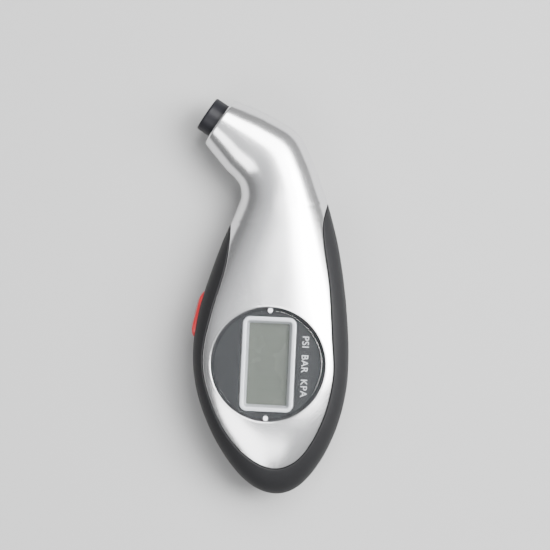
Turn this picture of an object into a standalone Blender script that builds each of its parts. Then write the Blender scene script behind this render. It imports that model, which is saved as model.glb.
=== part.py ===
"""Digital tyre pressure gauge: two shells with a soft grip, a round dial and an angled nozzle.

Frame: the origin is on the plane that the back rests on, under the centre of the dial.
+Y runs up the display towards the head, and +Z comes out of the dial. Lengths below are in millimetres.
"""

import math

import bmesh
import bpy
import numpy as np
from mathutils import Matrix, Vector

MM = 0.001

# Clearances and walls
GAP = 0.3
SLACK = 2 * GAP
WALL = 2.0
SIDE_WALL = 2.4
FAR = 100.0

# Body: the shells part at MID_Z, and the back is flat at z = 0
MID_Z = 13.0
RIBS = (
    # left edge (x, y), right edge (x, y), front rise, back depth, squareness of the section
    ((4.6, -42.1), (4.6, -42.1), 0.0, 0.0, 2.2),
    ((-3.2, -39.9), (11.6, -39.4), 5.6, 5.6, 2.3),
    ((-10.6, -33.2), (18.0, -31.6), 9.8, 10.0, 2.6),
    ((-17.6, -22.6), (22.9, -20.8), 12.5, 12.9, 3.0),
    ((-22.6, -10.3), (25.6, -9.0), 13.5, 14.0, 3.3),
    ((-24.5, 2.0), (26.1, 2.5), 13.8, 14.2, 3.4),
    ((-23.4, 15.5), (25.1, 15.5), 13.5, 14.1, 3.3),
    ((-20.5, 26.5), (23.5, 27.0), 12.8, 13.6, 3.0),
    ((-16.7, 38.4), (21.0, 39.5), 11.8, 12.5, 2.6),
    ((-13.2, 47.5), (17.6, 51.0), 10.9, 11.3, 2.4),
    ((-11.4, 53.2), (14.6, 59.0), 10.2, 10.4, 2.3),
    ((-11.7, 56.8), (11.2, 67.2), 9.7, 9.7, 2.2),
    ((-13.2, 59.2), (6.0, 75.3), 9.3, 9.3, 2.2),
    ((-16.8, 62.6), (-3.0, 80.4), 9.0, 9.0, 2.2),
    ((-20.3, 66.5), (-9.0, 82.9), 8.7, 8.7, 2.1),
    ((-23.9, 70.6), (-15.0, 85.0), 8.5, 8.5, 2.1),
)
LAST_RIB = len(RIBS) - 1
# Edge of the hard face, from the left of the neck round the tail to the right of the neck
FACE_EDGE = (
    (-16.2, 51.0), (-14.6, 46.0), (-14.4, 38.5), (-15.4, 29.5), (-19.0, 15.5), (-21.2, 2.0),
    (-19.2, -9.5), (-12.8, -22.5), (-4.2, -31.0), (4.4, -33.6), (12.2, -29.0), (18.4, -17.2),
    (21.2, -3.5), (20.3, 9.5), (18.7, 26.0), (16.3, 39.5), (15.8, 46.5), (17.8, 55.0),
)

# Nozzle: its axis lies in the parting plane and leaves the head's end face
NOZZLE_AT = (-19.45, 77.8, MID_Z)
NOZZLE_DEG = 148.3

# Dial: a round lens in a round seat, over a printed face and a framed display
RING_RADIUS, RING_BOTTOM = 20.2, 20.9
SEAT_RADIUS, SEAT_Z = 18.4, 22.4
DIAL_HOLE = 16.5
LENS_RADIUS, LENS_BOTTOM, LENS_TOP = 18.05, 23.5, 25.1
FACE_BOTTOM, FACE_TOP = 22.7, 23.2
PIN_RADIUS, PIN_AT = 0.8, 17.4
FRAME_X, FRAME_Y, FRAME_CORNER = 17.3, 30.6, 2.4
WINDOW_X, WINDOW_Y, WINDOW_CORNER = 13.0, 26.4, 0.8
FUNNEL_WALL, FUNNEL_BOTTOM = 0.8, 20.6
LCD_X, LCD_Y, LCD_BOTTOM, LCD_TOP = 16.4, 31.0, 19.1, 20.3
PANEL_X, PANEL_Y, PANEL_BOTTOM, PANEL_TOP = 13.4, 25.0, 16.2, 18.8
HOLDER_WALL, HOLDER_TOP = 0.7, 20.4

# Power button, in the left edge under the index finger
BUTTON_AT = (-19.25, 14.45, 13.4)
BUTTON_DEG = 168.2
BUTTON_LENGTH, BUTTON_HEIGHT, BUTTON_PROUD, BUTTON_SAG = 15.6, 7.0, 5.8, 1.5
BUTTON_TRAVEL, BUTTON_FLANGE, FLANGE_LIP = 0.5, 0.8, 1.3
STEM_LENGTH, STEM_HEIGHT, STEM_END, STEM_RAISE = 4.4, 3.6, -3.2, 1.6
SWITCH_FRONT, SWITCH_BACK, SWITCH_WIDTH, SWITCH_TOP = -4.6, -9.0, 6.0, 16.9
PLUNGER_FRONT, PLUNGER_BACK, PLUNGER_X, PLUNGER_Z = -3.5, -7.2, 2.4, 1.6

# Circuit board
BOARD_BOTTOM, BOARD_TOP = 11.2, 12.8
BOARD_EDGE = (
    (-8.0, -22.0), (10.5, -22.0), (14.6, -12.0), (15.6, 0.0), (15.0, 20.0), (13.4, 29.6),
    (-11.8, 29.6), (-12.6, 24.0), (-15.4, 19.0), (-15.6, 8.0), (-14.8, -8.0),
)
ON_BOARD, UNDER_BOARD = BOARD_TOP + GAP, BOARD_BOTTOM - GAP
BOARD_SCREWS = {"board_screw_tail": (-4.5, -19.3), "board_screw_head": (10.0, 26.0)}
BOARD_BOSS, BOARD_SCREW_RADIUS, BOARD_SCREW_TIP = 2.6, 0.9, 6.5
BOARD_SCREW_HEAD_RADIUS, BOARD_SCREW_HEAD = 1.9, 1.3
CHIP_X, CHIP_Y, CHIP_HEIGHT = (-2.0, 7.0), (-16.5, -7.5), 1.5
CRYSTAL_AT, CRYSTAL_RADIUS, CRYSTAL_HEIGHT = (11.0, -8.0), 1.3, 5.0
LED_HALF, STRIP_INSET = 1.6, 0.8

# Battery, behind a round cap that turns in the back
CELL_AT = (1.5, 14.0)
CELL_RADIUS, CELL_BOTTOM, CELL_TOP = 10.0, 2.6, 5.8
CAP_RADIUS, CAP_BOTTOM, CAP_TOP, CAP_FLOOR = 12.0, 0.3, 3.7, 2.1
LUG_RADIUS, LUG_WIDTH, LUG_BOTTOM = 13.6, 5.0, 2.4
CAP_TURN, SLOT_LENGTH, SLOT_WIDTH, SLOT_DEPTH = 40.0, 15.0, 1.8, 1.1
HOLDER_IN, HOLDER_OUT, HOLDER_FOOT = 10.4, 11.8, 4.1
HOLDER_SLOT_X, HOLDER_SLOT_HALF = (9, 14), 2.8
LEAF, LEAF_WIDTH = 0.3, 4.0

# Case screws, through the rear shell into the front shell
SCREWS = {
    "case_screw_tail": (4.4, -27.6),
    "case_screw_neck_left": (-8.4, 36.8),
    "case_screw_neck_right": (11.0, 36.8),
}
BOSS_RADIUS, SCREW_HEAD_RADIUS, SCREW_RADIUS = 3.5, 2.2, 1.1
SEAT_DEPTH, SCREW_HEAD, SCREW_TOP = 6.0, 1.7, 18.0

# Air path, in positions along the nozzle axis: 0 at the head's end face, positive outwards
TIP_RADIUS, TIP_REACH, TIP_BORE, TIP_FLOOR, TIP_BACK = 5.9, 4.9, 4.7, -4.5, -7.0
FLANGE_RADIUS, FLANGE_FRONT = 6.9, -2.9
SEAL_TOP, SEAL_BOTTOM, SEAL_RADIUS, SEAL_HOLE = -1.8, -4.2, 4.4, 1.7
PIN_TIP, PIN_ROOT, DEPRESSOR_RADIUS = -1.4, -10.0, 0.8
MANIFOLD_FRONT, MANIFOLD_BACK, MANIFOLD_RADIUS, BARB_BACK = -7.3, -19.5, 5.2, -24.0
BARB_RADIUS, AIR_RADIUS, HOSE_BORE, HOSE_RADIUS, CLAMP_RADIUS = 1.3, 0.6, 1.9, 3.0, 3.9
SENSOR_X, SENSOR_Y, SENSOR_TOP, PORT_Z, PORT_END = (-2.0, 6.0), (20.4, 28.8), 19.0, 16.6, 33.4
MANIFOLD_NOSE, CLAMP_HALF, CLAMP_INSET = 2.6, 1.2, 2.4
HOSE_ROUTE = ((6.6, 58.6, 13.5), (8.0, 53.5, 14.3), (7.0, 47.0, 15.4), (4.0, 41.0, 16.3))


# Scene and small helpers ---------------------------------------------------------------------

for old in list(bpy.data.objects):
    bpy.data.objects.remove(old, do_unlink=True)

parts = bpy.data.collections.new("tyre_gauge")
tools = bpy.data.collections.new("cutters")
tools.hide_render = True
for made in (parts, tools):
    bpy.context.scene.collection.children.link(made)


def material(name, colour, roughness, metallic=0.0, alpha=1.0):
    """A plain Principled finish."""
    made = bpy.data.materials.new(name)
    made.use_nodes = True
    shader = made.node_tree.nodes["Principled BSDF"]
    shader.inputs["Base Color"].default_value = (*colour, 1.0)
    shader.inputs["Roughness"].default_value = roughness
    shader.inputs["Metallic"].default_value = metallic
    shader.inputs["Alpha"].default_value = alpha
    return made


SILVER = material("silver_paint", (0.72, 0.72, 0.73), 0.3, 0.75)
RUBBER = material("grip_rubber", (0.035, 0.035, 0.04), 0.6)
BLACK = material("black_plastic", (0.03, 0.03, 0.035), 0.35)
CLEAR = material("clear_plastic", (0.9, 0.92, 0.93), 0.05, 0.0, 0.3)
DIAL_GREY = material("dial_print", (0.1, 0.1, 0.11), 0.35)
BEZEL = material("display_bezel", (0.62, 0.62, 0.65), 0.35, 0.3)
LCD = material("lcd_glass", (0.27, 0.3, 0.26), 0.2)
WHITE = material("diffuser", (0.85, 0.86, 0.84), 0.5)
RED = material("button_red", (0.62, 0.05, 0.05), 0.4)
BRASS = material("brass", (0.75, 0.58, 0.28), 0.3, 1.0)
STEEL = material("steel", (0.6, 0.6, 0.61), 0.3, 1.0)
GREEN = material("board", (0.02, 0.16, 0.07), 0.4)
SEAL = material("seal_rubber", (0.06, 0.06, 0.06), 0.7)
SILICONE = material("silicone", (0.75, 0.75, 0.72), 0.5)
STRIP = material("zebra_rubber", (0.55, 0.45, 0.5), 0.6)


def place(obj, finish=None):
    """Link obj as a part if it has a finish, and as a hidden tool if it has none."""
    if finish is None:
        tools.objects.link(obj)
        obj.hide_render = True
        obj.display_type = "WIRE"
    else:
        parts.objects.link(obj)
        obj.data.materials.append(finish)
    return obj


def mesh_object(name, mesh, finish=None):
    return place(bpy.data.objects.new(name, mesh), finish)


def from_bmesh(name, build, finish=None):
    mesh = bpy.data.meshes.new(name)
    build.to_mesh(mesh)
    build.free()
    return mesh_object(name, mesh, finish)


def smooth(obj, degrees=35):
    obj.data.shade_smooth()
    obj.data.set_sharp_from_angle(angle=math.radians(degrees))
    return obj


def box(name, x, y, z, finish=None):
    """A block between pairs of planes."""
    build = bmesh.new()
    bmesh.ops.create_cube(build, size=1.0)
    size = Vector((x[1] - x[0], y[1] - y[0], z[1] - z[0])) * MM
    middle = Vector((x[0] + x[1], y[0] + y[1], z[0] + z[1])) * MM / 2
    bmesh.ops.scale(build, vec=size, verts=build.verts)
    bmesh.ops.translate(build, vec=middle, verts=build.verts)
    return from_bmesh(name, build, finish)


def cylinder(name, at, radius, z, finish=None, segments=32):
    """An upright cylinder from z[0] to z[1]."""
    build = bmesh.new()
    size = radius * MM
    bmesh.ops.create_cone(
        build, cap_ends=True, segments=segments, radius1=size, radius2=size, depth=(z[1] - z[0]) * MM
    )
    bmesh.ops.translate(build, vec=Vector((at[0], at[1], (z[0] + z[1]) / 2)) * MM, verts=build.verts)
    return smooth(from_bmesh(name, build, finish))


def turned(name, profile, finish=None, steps=32):
    """A solid of revolution about its own Z. The profile (radius, z) runs down its outer side."""
    build = bmesh.new()
    ring = [build.verts.new((radius * MM, 0.0, z * MM)) for radius, z in profile]
    for start, end in zip(ring, ring[1:]):
        build.edges.new((start, end))
    if profile[0][0] > 0 and profile[0] != profile[-1]:
        build.edges.new((ring[-1], ring[0]))
    obj = from_bmesh(name, build, finish)
    screw = obj.modifiers.new("turn", "SCREW")
    screw.steps = screw.render_steps = steps
    screw.use_merge_vertices = True
    screw.merge_threshold = 0.00001
    return obj


def plate(name, outline, z, finish=None):
    """A flat outline, filled and given a thickness."""
    curve = bpy.data.curves.new(name, "CURVE")
    curve.dimensions = "2D"
    curve.fill_mode = "BOTH"
    curve.extrude = (z[1] - z[0]) * MM / 2
    spline = curve.splines.new("POLY")
    spline.points.add(len(outline) - 1)
    for point, (x, y) in zip(spline.points, outline):
        point.co = (x * MM, y * MM, 0.0, 1.0)
    spline.use_cyclic_u = True
    guide = bpy.data.objects.new(name + "_curve", curve)
    guide.location.z = (z[0] + z[1]) * MM / 2
    return meshed(guide, name, finish)


def meshed(guide, name, finish=None):
    """The mesh of a curve object, with its caps welded, in the curve's place."""
    bpy.context.scene.collection.objects.link(guide)
    bpy.context.view_layer.update()
    evaluated = guide.evaluated_get(bpy.context.evaluated_depsgraph_get())
    mesh = bpy.data.meshes.new_from_object(evaluated)
    build = bmesh.new()
    build.from_mesh(mesh)
    bmesh.ops.remove_doubles(build, verts=build.verts, dist=0.00001)
    bmesh.ops.recalc_face_normals(build, faces=build.faces)
    build.to_mesh(mesh)
    build.free()
    obj = bpy.data.objects.new(name, mesh)
    obj.matrix_world = guide.matrix_world.copy()
    bpy.data.objects.remove(guide, do_unlink=True)
    return place(obj, finish)


def boolean(obj, operation, *others):
    for other in others:
        modifier = obj.modifiers.new(f"{operation.lower()} {other.name}", "BOOLEAN")
        modifier.operation = operation
        modifier.object = other
    return obj


def aim(obj, at, degrees):
    """Stand obj's own Z axis along a level direction, turned from +X, with its origin at a point."""
    turn = Matrix.Rotation(math.radians(degrees), 4, "Z") @ Matrix.Rotation(math.pi / 2, 4, "Y")
    obj.matrix_world = Matrix.Translation(Vector(at) * MM) @ turn
    return obj


# Curves ---------------------------------------------------------------------------------------


def through(points, places):
    """Values of a smooth curve through rows of numbers. Row i is at place i - 1."""
    points = np.asarray(points, float)
    whole = np.clip(np.floor(places).astype(int), 0, len(points) - 4)
    part = (places - whole)[:, None]
    a, b, c, d = (points[whole + step] for step in range(4))
    bend = 2 * a - 5 * b + 4 * c - d
    twist = 3 * b - a - 3 * c + d
    return 0.5 * (2 * b + (c - a) * part + bend * part**2 + twist * part**3)


def rib_rows():
    """The ribs as rows, with one more at each end. The tail's swaps sides, for a round end."""
    rows = [[*left, *right, front, back, power] for left, right, front, back, power in RIBS]
    first, last, before = rows[1], rows[-1], rows[-2]
    tail = [*first[2:4], *first[0:2], -first[4], -first[5], first[6]]
    return np.array([tail, *rows, [2 * end - back for end, back in zip(last, before)]])


def body_rings(inset, first, last, count, around):
    """Rings of points of the body, shrunk all round by inset, from rib place first to rib place last."""
    share = np.linspace(0.0, 1.0, count)
    places = first + (last - first) * (0.35 * share**2 + 0.65 * share)
    angle = np.linspace(0.0, 2 * math.pi, around, endpoint=False)
    across, rise = -np.cos(angle), np.sin(angle)
    rings = []
    for lx, ly, rx, ry, front, back, power in through(rib_rows(), places):
        left, right = np.array([lx, ly]), np.array([rx, ry])
        half = (right - left) / 2
        width = max(np.linalg.norm(half), 1e-6)
        reach = half * (1 - inset / width)
        side = np.sign(across) * np.abs(across) ** (2 / power)
        lift = np.sign(rise) * np.abs(rise) ** (2 / power)
        height = np.where(rise > 0, front - inset, back - inset)
        flat = (left + right) / 2 + side[:, None] * reach
        rings.append(np.column_stack([flat, MID_Z + lift * height]))
    return rings


def body_solid(name, finish=None, inset=0.0, first=0.0, last=LAST_RIB, count=27, around=28):
    """The body as a loft of rings. It ends in a flat face, and starts in a point if first is 0."""
    rings = body_rings(inset, first, last, count, around)
    build = bmesh.new()
    loops = []
    for number, ring in enumerate(rings):
        if number == 0 and first == 0.0:
            loops.append([build.verts.new(ring[0] * MM)] * around)
        else:
            loops.append([build.verts.new(point * MM) for point in ring])
    for lower, upper in zip(loops, loops[1:]):
        for step in range(around):
            after = (step + 1) % around
            corners = dict.fromkeys((lower[step], lower[after], upper[after], upper[step]))
            build.faces.new(corners)
    if first > 0.0:
        build.faces.new(loops[0])
    build.faces.new(loops[-1])
    bmesh.ops.recalc_face_normals(build, faces=build.faces)
    return smooth(from_bmesh(name, build, finish))


def face_edge(offset=0.0, count=74):
    """Points along the edge of the hard face, moved outwards by offset."""
    first, second, last, before = FACE_EDGE[0], FACE_EDGE[1], FACE_EDGE[-1], FACE_EDGE[-2]
    start = [2 * a - b for a, b in zip(first, second)]
    end = [2 * a - b for a, b in zip(last, before)]
    path = through([start, *FACE_EDGE, end], np.linspace(0.0, len(FACE_EDGE) - 1.0, count))
    along = np.gradient(path, axis=0)
    out = np.column_stack([along[:, 1], -along[:, 0]])
    out /= np.linalg.norm(out, axis=1)[:, None]
    return path - offset * out * outward_sign(path, out)


def outward_sign(path, out):
    """1 where the computed normals point into the face, so that offsets always go outwards."""
    middle = path.mean(axis=0)
    return np.sign(np.sum((middle - path) * out, axis=1).mean())


def edge_region(name, offset, end_y):
    """A thick slab on one side of the hard face's edge: below it if end_y is low, above it if high."""
    path = face_edge(offset).tolist()
    frame = [(FAR, path[-1][1]), (FAR, end_y), (-FAR, end_y), (-FAR, path[0][1])]
    return plate(name, path + frame, (-8.0, 34.0))


# Body: two shells and the grip -------------------------------------------------------------------


def rounded(width, height, corner, steps=4):
    """Outline of a rectangle with round corners."""
    points = []
    for quarter, (across, up) in enumerate(((1, 1), (-1, 1), (-1, -1), (1, -1))):
        middle = Vector((across * (width / 2 - corner), up * (height / 2 - corner)))
        for step in range(steps + 1):
            angle = math.pi / 2 * (quarter + step / steps)
            points.append(middle + corner * Vector((math.cos(angle), math.sin(angle))))
    return points


def on_nozzle(obj):
    return aim(obj, NOZZLE_AT, NOZZLE_DEG)


def nozzle_point(t):
    """The world point at position t along the nozzle axis, in millimetres."""
    angle = math.radians(NOZZLE_DEG)
    return Vector(NOZZLE_AT) + t * Vector((math.cos(angle), math.sin(angle), 0.0))


def at_button(obj):
    """Turn obj so that its own X axis leads out of the body through the button."""
    turn = Matrix.Rotation(math.radians(BUTTON_DEG), 4, "Z")
    obj.matrix_world = Matrix.Translation(Vector(BUTTON_AT) * MM) @ turn
    return obj


def button_block(name, reach, length, height, raised=0.0, finish=None):
    """A block on the button's axis: its reach outwards, its length along the edge and its height."""
    upward = (raised - height / 2, raised + height / 2)
    block = box(name, reach, (-length / 2, length / 2), upward, finish)
    return at_button(block)


def shaped(name, finish, *cuts):
    """A piece of the body's outer form: the loft less the cuts."""
    piece = body_solid(name, finish)
    return boolean(piece, "DIFFERENCE", *cuts)


below_back = box("below_back", (-50, 50), (-60, 100), (-10, 0))
upper_half = box("upper_half", (-50, 50), (-60, 100), (MID_Z - GAP / 2, 40))
lower_half = box("lower_half", (-50, 50), (-60, 100), (-12, MID_Z + GAP / 2))
beyond_face = edge_region("beyond_face", 0.0, -FAR)
within_face = edge_region("within_face", GAP, FAR)

# What stays solid inside the walls: the dial's ring, the floor and the screw bosses
cavity = body_solid("cavity", inset=WALL, first=0.6, last=LAST_RIB - 0.5, count=20, around=24)
side_wall = edge_region("side_wall", -SIDE_WALL, -FAR)
floor = box("floor", (-50, 50), (-60, 100), (-10, WALL))
dial_ring = cylinder("dial_ring", (0, 0), RING_RADIUS, (RING_BOTTOM, 40), segments=56)
boolean(cavity, "DIFFERENCE", side_wall, floor, dial_ring)
for name, at in SCREWS.items():
    boolean(cavity, "DIFFERENCE", cylinder(name + "_boss", at, BOSS_RADIUS, (-5, 35), segments=20))
for name, at in BOARD_SCREWS.items():
    boss = cylinder(name + "_boss", at, BOARD_BOSS, (-5, UNDER_BOARD), segments=16)
    boolean(cavity, "DIFFERENCE", boss)

dial_seat = cylinder("dial_seat", (0, 0), SEAT_RADIUS, (SEAT_Z, 40), segments=56)
dial_hole = cylinder("dial_hole", (0, 0), DIAL_HOLE, (15, 40), segments=56)
nozzle_hole = on_nozzle(cylinder("nozzle_hole", (0, 0), TIP_RADIUS + GAP, (-9, 12)))
flange_span = (TIP_BACK - 4, FLANGE_FRONT + GAP)
flange_room = on_nozzle(cylinder("flange_room", (0, 0), FLANGE_RADIUS + GAP, flange_span))

flange_length, flange_height = BUTTON_LENGTH + 2 * FLANGE_LIP, BUTTON_HEIGHT + 2 * FLANGE_LIP
pocket_depth = BUTTON_FLANGE + BUTTON_TRAVEL + GAP
pocket_length, pocket_height = flange_length + SLACK, flange_height + SLACK
opening_length, opening_height = BUTTON_LENGTH + SLACK, BUTTON_HEIGHT + SLACK
stem_room = (STEM_LENGTH + SLACK, STEM_HEIGHT + SLACK)
button_opening = button_block("button_opening", (-0.2, 12), opening_length, opening_height)
flange_pocket = button_block("flange_pocket", (-pocket_depth, 0.6), pocket_length, pocket_height)
stem_opening = button_block("stem_opening", (-4.0, 0.6), *stem_room, STEM_RAISE)

front_shell = shaped("front_shell", SILVER, lower_half, beyond_face, cavity, dial_seat, dial_hole)
boolean(front_shell, "DIFFERENCE", flange_room, nozzle_hole, flange_pocket, stem_opening)

rear_shell = shaped("rear_shell", SILVER, upper_half, beyond_face, below_back, cavity)
boolean(rear_shell, "DIFFERENCE", flange_room, nozzle_hole, flange_pocket, stem_opening)

shaped("grip_band", RUBBER, within_face, below_back, button_opening, flange_pocket)


def screw(name, at, head_radius, radius, tip, seat, head):
    """A screw whose head lies against the height seat, with its tip at the height tip."""
    away = math.copysign(head, seat - tip)
    top = seat + away
    profile = [(0, top), (head_radius, top), (head_radius, seat)]
    profile += [(radius, seat), (radius, tip), (0, tip)]
    if away < 0:
        profile.reverse()
    made = turned(name, profile, STEEL, steps=16)
    made.location = Vector((*at, 0.0)) * MM
    return made


for name, at in SCREWS.items():
    screw(name, at, SCREW_HEAD_RADIUS, SCREW_RADIUS, SCREW_TOP, SEAT_DEPTH - GAP, SCREW_HEAD)
    bore = cylinder(name + "_bore", at, SCREW_RADIUS + GAP, (1, SCREW_TOP + 0.5), segments=12)
    sink = cylinder(name + "_sink", at, SCREW_HEAD_RADIUS + GAP, (-5, SEAT_DEPTH), segments=20)
    boolean(front_shell, "DIFFERENCE", bore)
    boolean(rear_shell, "DIFFERENCE", bore, sink)

# Battery cap: a round hole with two notches, and the lugs' way round above the floor
cap_hole = cylinder("cap_hole", CELL_AT, CAP_RADIUS + GAP, (-5, WALL + 1), segments=48)
boolean(rear_shell, "DIFFERENCE", cap_hole)


def cap_bar(name, turned_by, slack, z):
    """A bar across the cap, whose ends are the two bayonet lugs."""
    reach = LUG_RADIUS + slack
    bar = box(name, (-reach, reach), (-LUG_WIDTH / 2 - slack, LUG_WIDTH / 2 + slack), z)
    middle = Matrix.Translation(Vector((*CELL_AT, 0.0)) * MM)
    bar.matrix_world = middle @ Matrix.Rotation(math.radians(turned_by), 4, "Z")
    return bar


boolean(rear_shell, "DIFFERENCE", cap_bar("cap_notches", -CAP_TURN, GAP, (-1, WALL + 1)))


# Dial and display ----------------------------------------------------------------------------

dial_lens = turned(
    "dial_lens",
    [
        (0, LENS_TOP), (LENS_RADIUS - 0.7, LENS_TOP), (LENS_RADIUS, LENS_TOP - 0.5),
        (LENS_RADIUS, LENS_BOTTOM), (0, LENS_BOTTOM),
    ],
    CLEAR, steps=56,
)
face_z = (FACE_BOTTOM, FACE_TOP)
dial_face = cylinder("dial_face", (0, 0), LENS_RADIUS - 0.1, face_z, DIAL_GREY, segments=56)
room_outline = rounded(FRAME_X + SLACK, FRAME_Y + SLACK, FRAME_CORNER + GAP)
frame_room = plate("frame_room", room_outline, (20, 25))
boolean(dial_face, "DIFFERENCE", frame_room)
for name, side in (("lens_pin_head", 1), ("lens_pin_tail", -1)):
    at = (0.0, side * PIN_AT)
    cylinder(name, at, PIN_RADIUS, (SEAT_Z + GAP, LENS_TOP), BEZEL, segments=16)
    notch = cylinder(name + "_notch", at, PIN_RADIUS + GAP, (20, 30), segments=16)
    boolean(dial_lens, "DIFFERENCE", notch)
    boolean(dial_face, "DIFFERENCE", notch)

display_frame = plate("display_frame", rounded(FRAME_X, FRAME_Y, FRAME_CORNER), face_z, BEZEL)
funnel_x, funnel_y = WINDOW_X + 2 * FUNNEL_WALL, WINDOW_Y + 2 * FUNNEL_WALL
funnel_outline = rounded(funnel_x, funnel_y, WINDOW_CORNER + FUNNEL_WALL)
funnel = plate("funnel", funnel_outline, (FUNNEL_BOTTOM, FACE_TOP - 0.1))
window = plate("window", rounded(WINDOW_X, WINDOW_Y, WINDOW_CORNER), (18, 25))
boolean(display_frame, "UNION", funnel)
boolean(display_frame, "DIFFERENCE", window)


def centred_box(name, width, height, z, finish=None):
    return box(name, (-width / 2, width / 2), (-height / 2, height / 2), z, finish)


centred_box("lcd_glass", LCD_X, LCD_Y, (LCD_BOTTOM, LCD_TOP), LCD)
centred_box("backlight_panel", PANEL_X, PANEL_Y, (PANEL_BOTTOM, PANEL_TOP), WHITE)
room_x, room_y = LCD_X + SLACK, LCD_Y + SLACK
lcd_holder = centred_box(
    "lcd_holder", room_x + 2 * HOLDER_WALL, room_y + 2 * HOLDER_WALL, (ON_BOARD, HOLDER_TOP), WHITE
)
boolean(lcd_holder, "DIFFERENCE", centred_box("lcd_room", room_x, room_y, (10, 22)))
strip_inner, strip_outer = PANEL_Y / 2 + GAP, LCD_Y / 2 - GAP
strip_z = (ON_BOARD, LCD_BOTTOM - GAP)
strip_x = (-LCD_X / 2 + STRIP_INSET, LCD_X / 2 - STRIP_INSET)
box("zebra_strip_head", strip_x, (strip_inner, strip_outer), strip_z, STRIP)
box("zebra_strip_tail", strip_x, (-strip_outer, -strip_inner), strip_z, STRIP)
led_x, led_z = (PANEL_X / 2 + GAP, LCD_X / 2 - 0.1), (ON_BOARD, PANEL_TOP - 0.3)
box("backlight_led", led_x, (-LED_HALF, LED_HALF), led_z, WHITE)


# Circuit board -------------------------------------------------------------------------------

circuit_board = plate("circuit_board", BOARD_EDGE, (BOARD_BOTTOM, BOARD_TOP), GREEN)
box("controller_chip", CHIP_X, CHIP_Y, (UNDER_BOARD - CHIP_HEIGHT, UNDER_BOARD), BLACK)
crystal_z = (UNDER_BOARD - CRYSTAL_HEIGHT, UNDER_BOARD)
cylinder("clock_crystal", CRYSTAL_AT, CRYSTAL_RADIUS, crystal_z, STEEL, segments=16)

pressure_sensor = box("pressure_sensor", SENSOR_X, SENSOR_Y, (ON_BOARD, SENSOR_TOP), BLACK)
port_length, port_root = PORT_END - SENSOR_Y[0], 3.0
port_profile = [(0, port_length), (BARB_RADIUS, port_length), (BARB_RADIUS, port_root), (0, port_root)]
port = turned("sensor_port", port_profile, steps=16)
port_x = sum(SENSOR_X) / 2
aim(port, (port_x, SENSOR_Y[0], PORT_Z), 90.0)
boolean(pressure_sensor, "UNION", port)

for name, at in BOARD_SCREWS.items():
    head = (BOARD_SCREW_HEAD_RADIUS, BOARD_SCREW_RADIUS)
    screw(name, at, *head, BOARD_SCREW_TIP, ON_BOARD, BOARD_SCREW_HEAD)
    hole_z = (BOARD_SCREW_TIP - 0.5, 14)
    hole = cylinder(name + "_hole", at, BOARD_SCREW_RADIUS + GAP, hole_z, segments=12)
    boolean(circuit_board, "DIFFERENCE", hole)
    boolean(rear_shell, "DIFFERENCE", hole)


# Switch and button ---------------------------------------------------------------------------

button_side = BUTTON_LENGTH / 2
button_outline = [(-BUTTON_FLANGE / 2, button_side), (-BUTTON_FLANGE / 2, -button_side)]
for step in range(9):
    along = button_side * (step / 4 - 1)
    button_outline.append((BUTTON_PROUD - BUTTON_SAG * (along / button_side) ** 2, along))
button_z = (-BUTTON_HEIGHT / 2, BUTTON_HEIGHT / 2)
power_button = at_button(plate("power_button", button_outline, button_z, RED))
edge = power_button.modifiers.new("edges", "BEVEL")
edge.width = 0.7 * MM
edge.segments = 2
flange = button_block("button_flange", (-BUTTON_FLANGE, 0.0), flange_length, flange_height)
stem = button_block("button_stem", (STEM_END, -BUTTON_FLANGE / 2), STEM_LENGTH, STEM_HEIGHT, STEM_RAISE)
boolean(power_button, "UNION", flange, stem)

switch_middle = (SWITCH_TOP + ON_BOARD) / 2 - BUTTON_AT[2]
switch_height = SWITCH_TOP - ON_BOARD
switch_body = button_block(
    "switch_body", (SWITCH_BACK, SWITCH_FRONT), SWITCH_WIDTH, switch_height, switch_middle, BLACK
)
plunger_room = button_block(
    "plunger_room", (PLUNGER_BACK - 1.0, 0.0), PLUNGER_X + SLACK, PLUNGER_Z + SLACK, STEM_RAISE
)
boolean(switch_body, "DIFFERENCE", plunger_room)
button_block("switch_plunger", (PLUNGER_BACK, PLUNGER_FRONT), PLUNGER_X, PLUNGER_Z, STEM_RAISE, STEEL)


# Air path ------------------------------------------------------------------------------------

on_nozzle(turned(
    "nozzle_tip",
    [
        (TIP_BORE + 0.3, TIP_REACH), (TIP_RADIUS - 0.3, TIP_REACH), (TIP_RADIUS, TIP_REACH - 0.3),
        (TIP_RADIUS, FLANGE_FRONT), (FLANGE_RADIUS, FLANGE_FRONT), (FLANGE_RADIUS, TIP_BACK),
        (3.0, TIP_BACK), (3.0, TIP_FLOOR), (TIP_BORE, TIP_FLOOR), (TIP_BORE, TIP_REACH - 0.6),
    ],
    BLACK, steps=32,
))
on_nozzle(turned(
    "valve_seal",
    [
        (SEAL_HOLE, SEAL_TOP), (SEAL_RADIUS, SEAL_TOP),
        (SEAL_RADIUS, SEAL_BOTTOM), (SEAL_HOLE, SEAL_BOTTOM),
    ],
    SEAL, steps=24,
))
on_nozzle(turned(
    "depressor_pin",
    [(0, PIN_TIP), (DEPRESSOR_RADIUS, PIN_TIP), (DEPRESSOR_RADIUS, PIN_ROOT), (0, PIN_ROOT)],
    BRASS, steps=12,
))
on_nozzle(turned(
    "manifold",
    [
        (DEPRESSOR_RADIUS + GAP, SEAL_BOTTOM - 0.6), (MANIFOLD_NOSE, SEAL_BOTTOM - 0.6),
        (MANIFOLD_NOSE, MANIFOLD_FRONT),
        (MANIFOLD_RADIUS, MANIFOLD_FRONT), (MANIFOLD_RADIUS, MANIFOLD_BACK),
        (BARB_RADIUS, MANIFOLD_BACK), (BARB_RADIUS, BARB_BACK),
        (AIR_RADIUS, BARB_BACK), (AIR_RADIUS, PIN_ROOT - GAP), (DEPRESSOR_RADIUS + GAP, PIN_ROOT - GAP),
    ],
    BRASS, steps=24,
))


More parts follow.
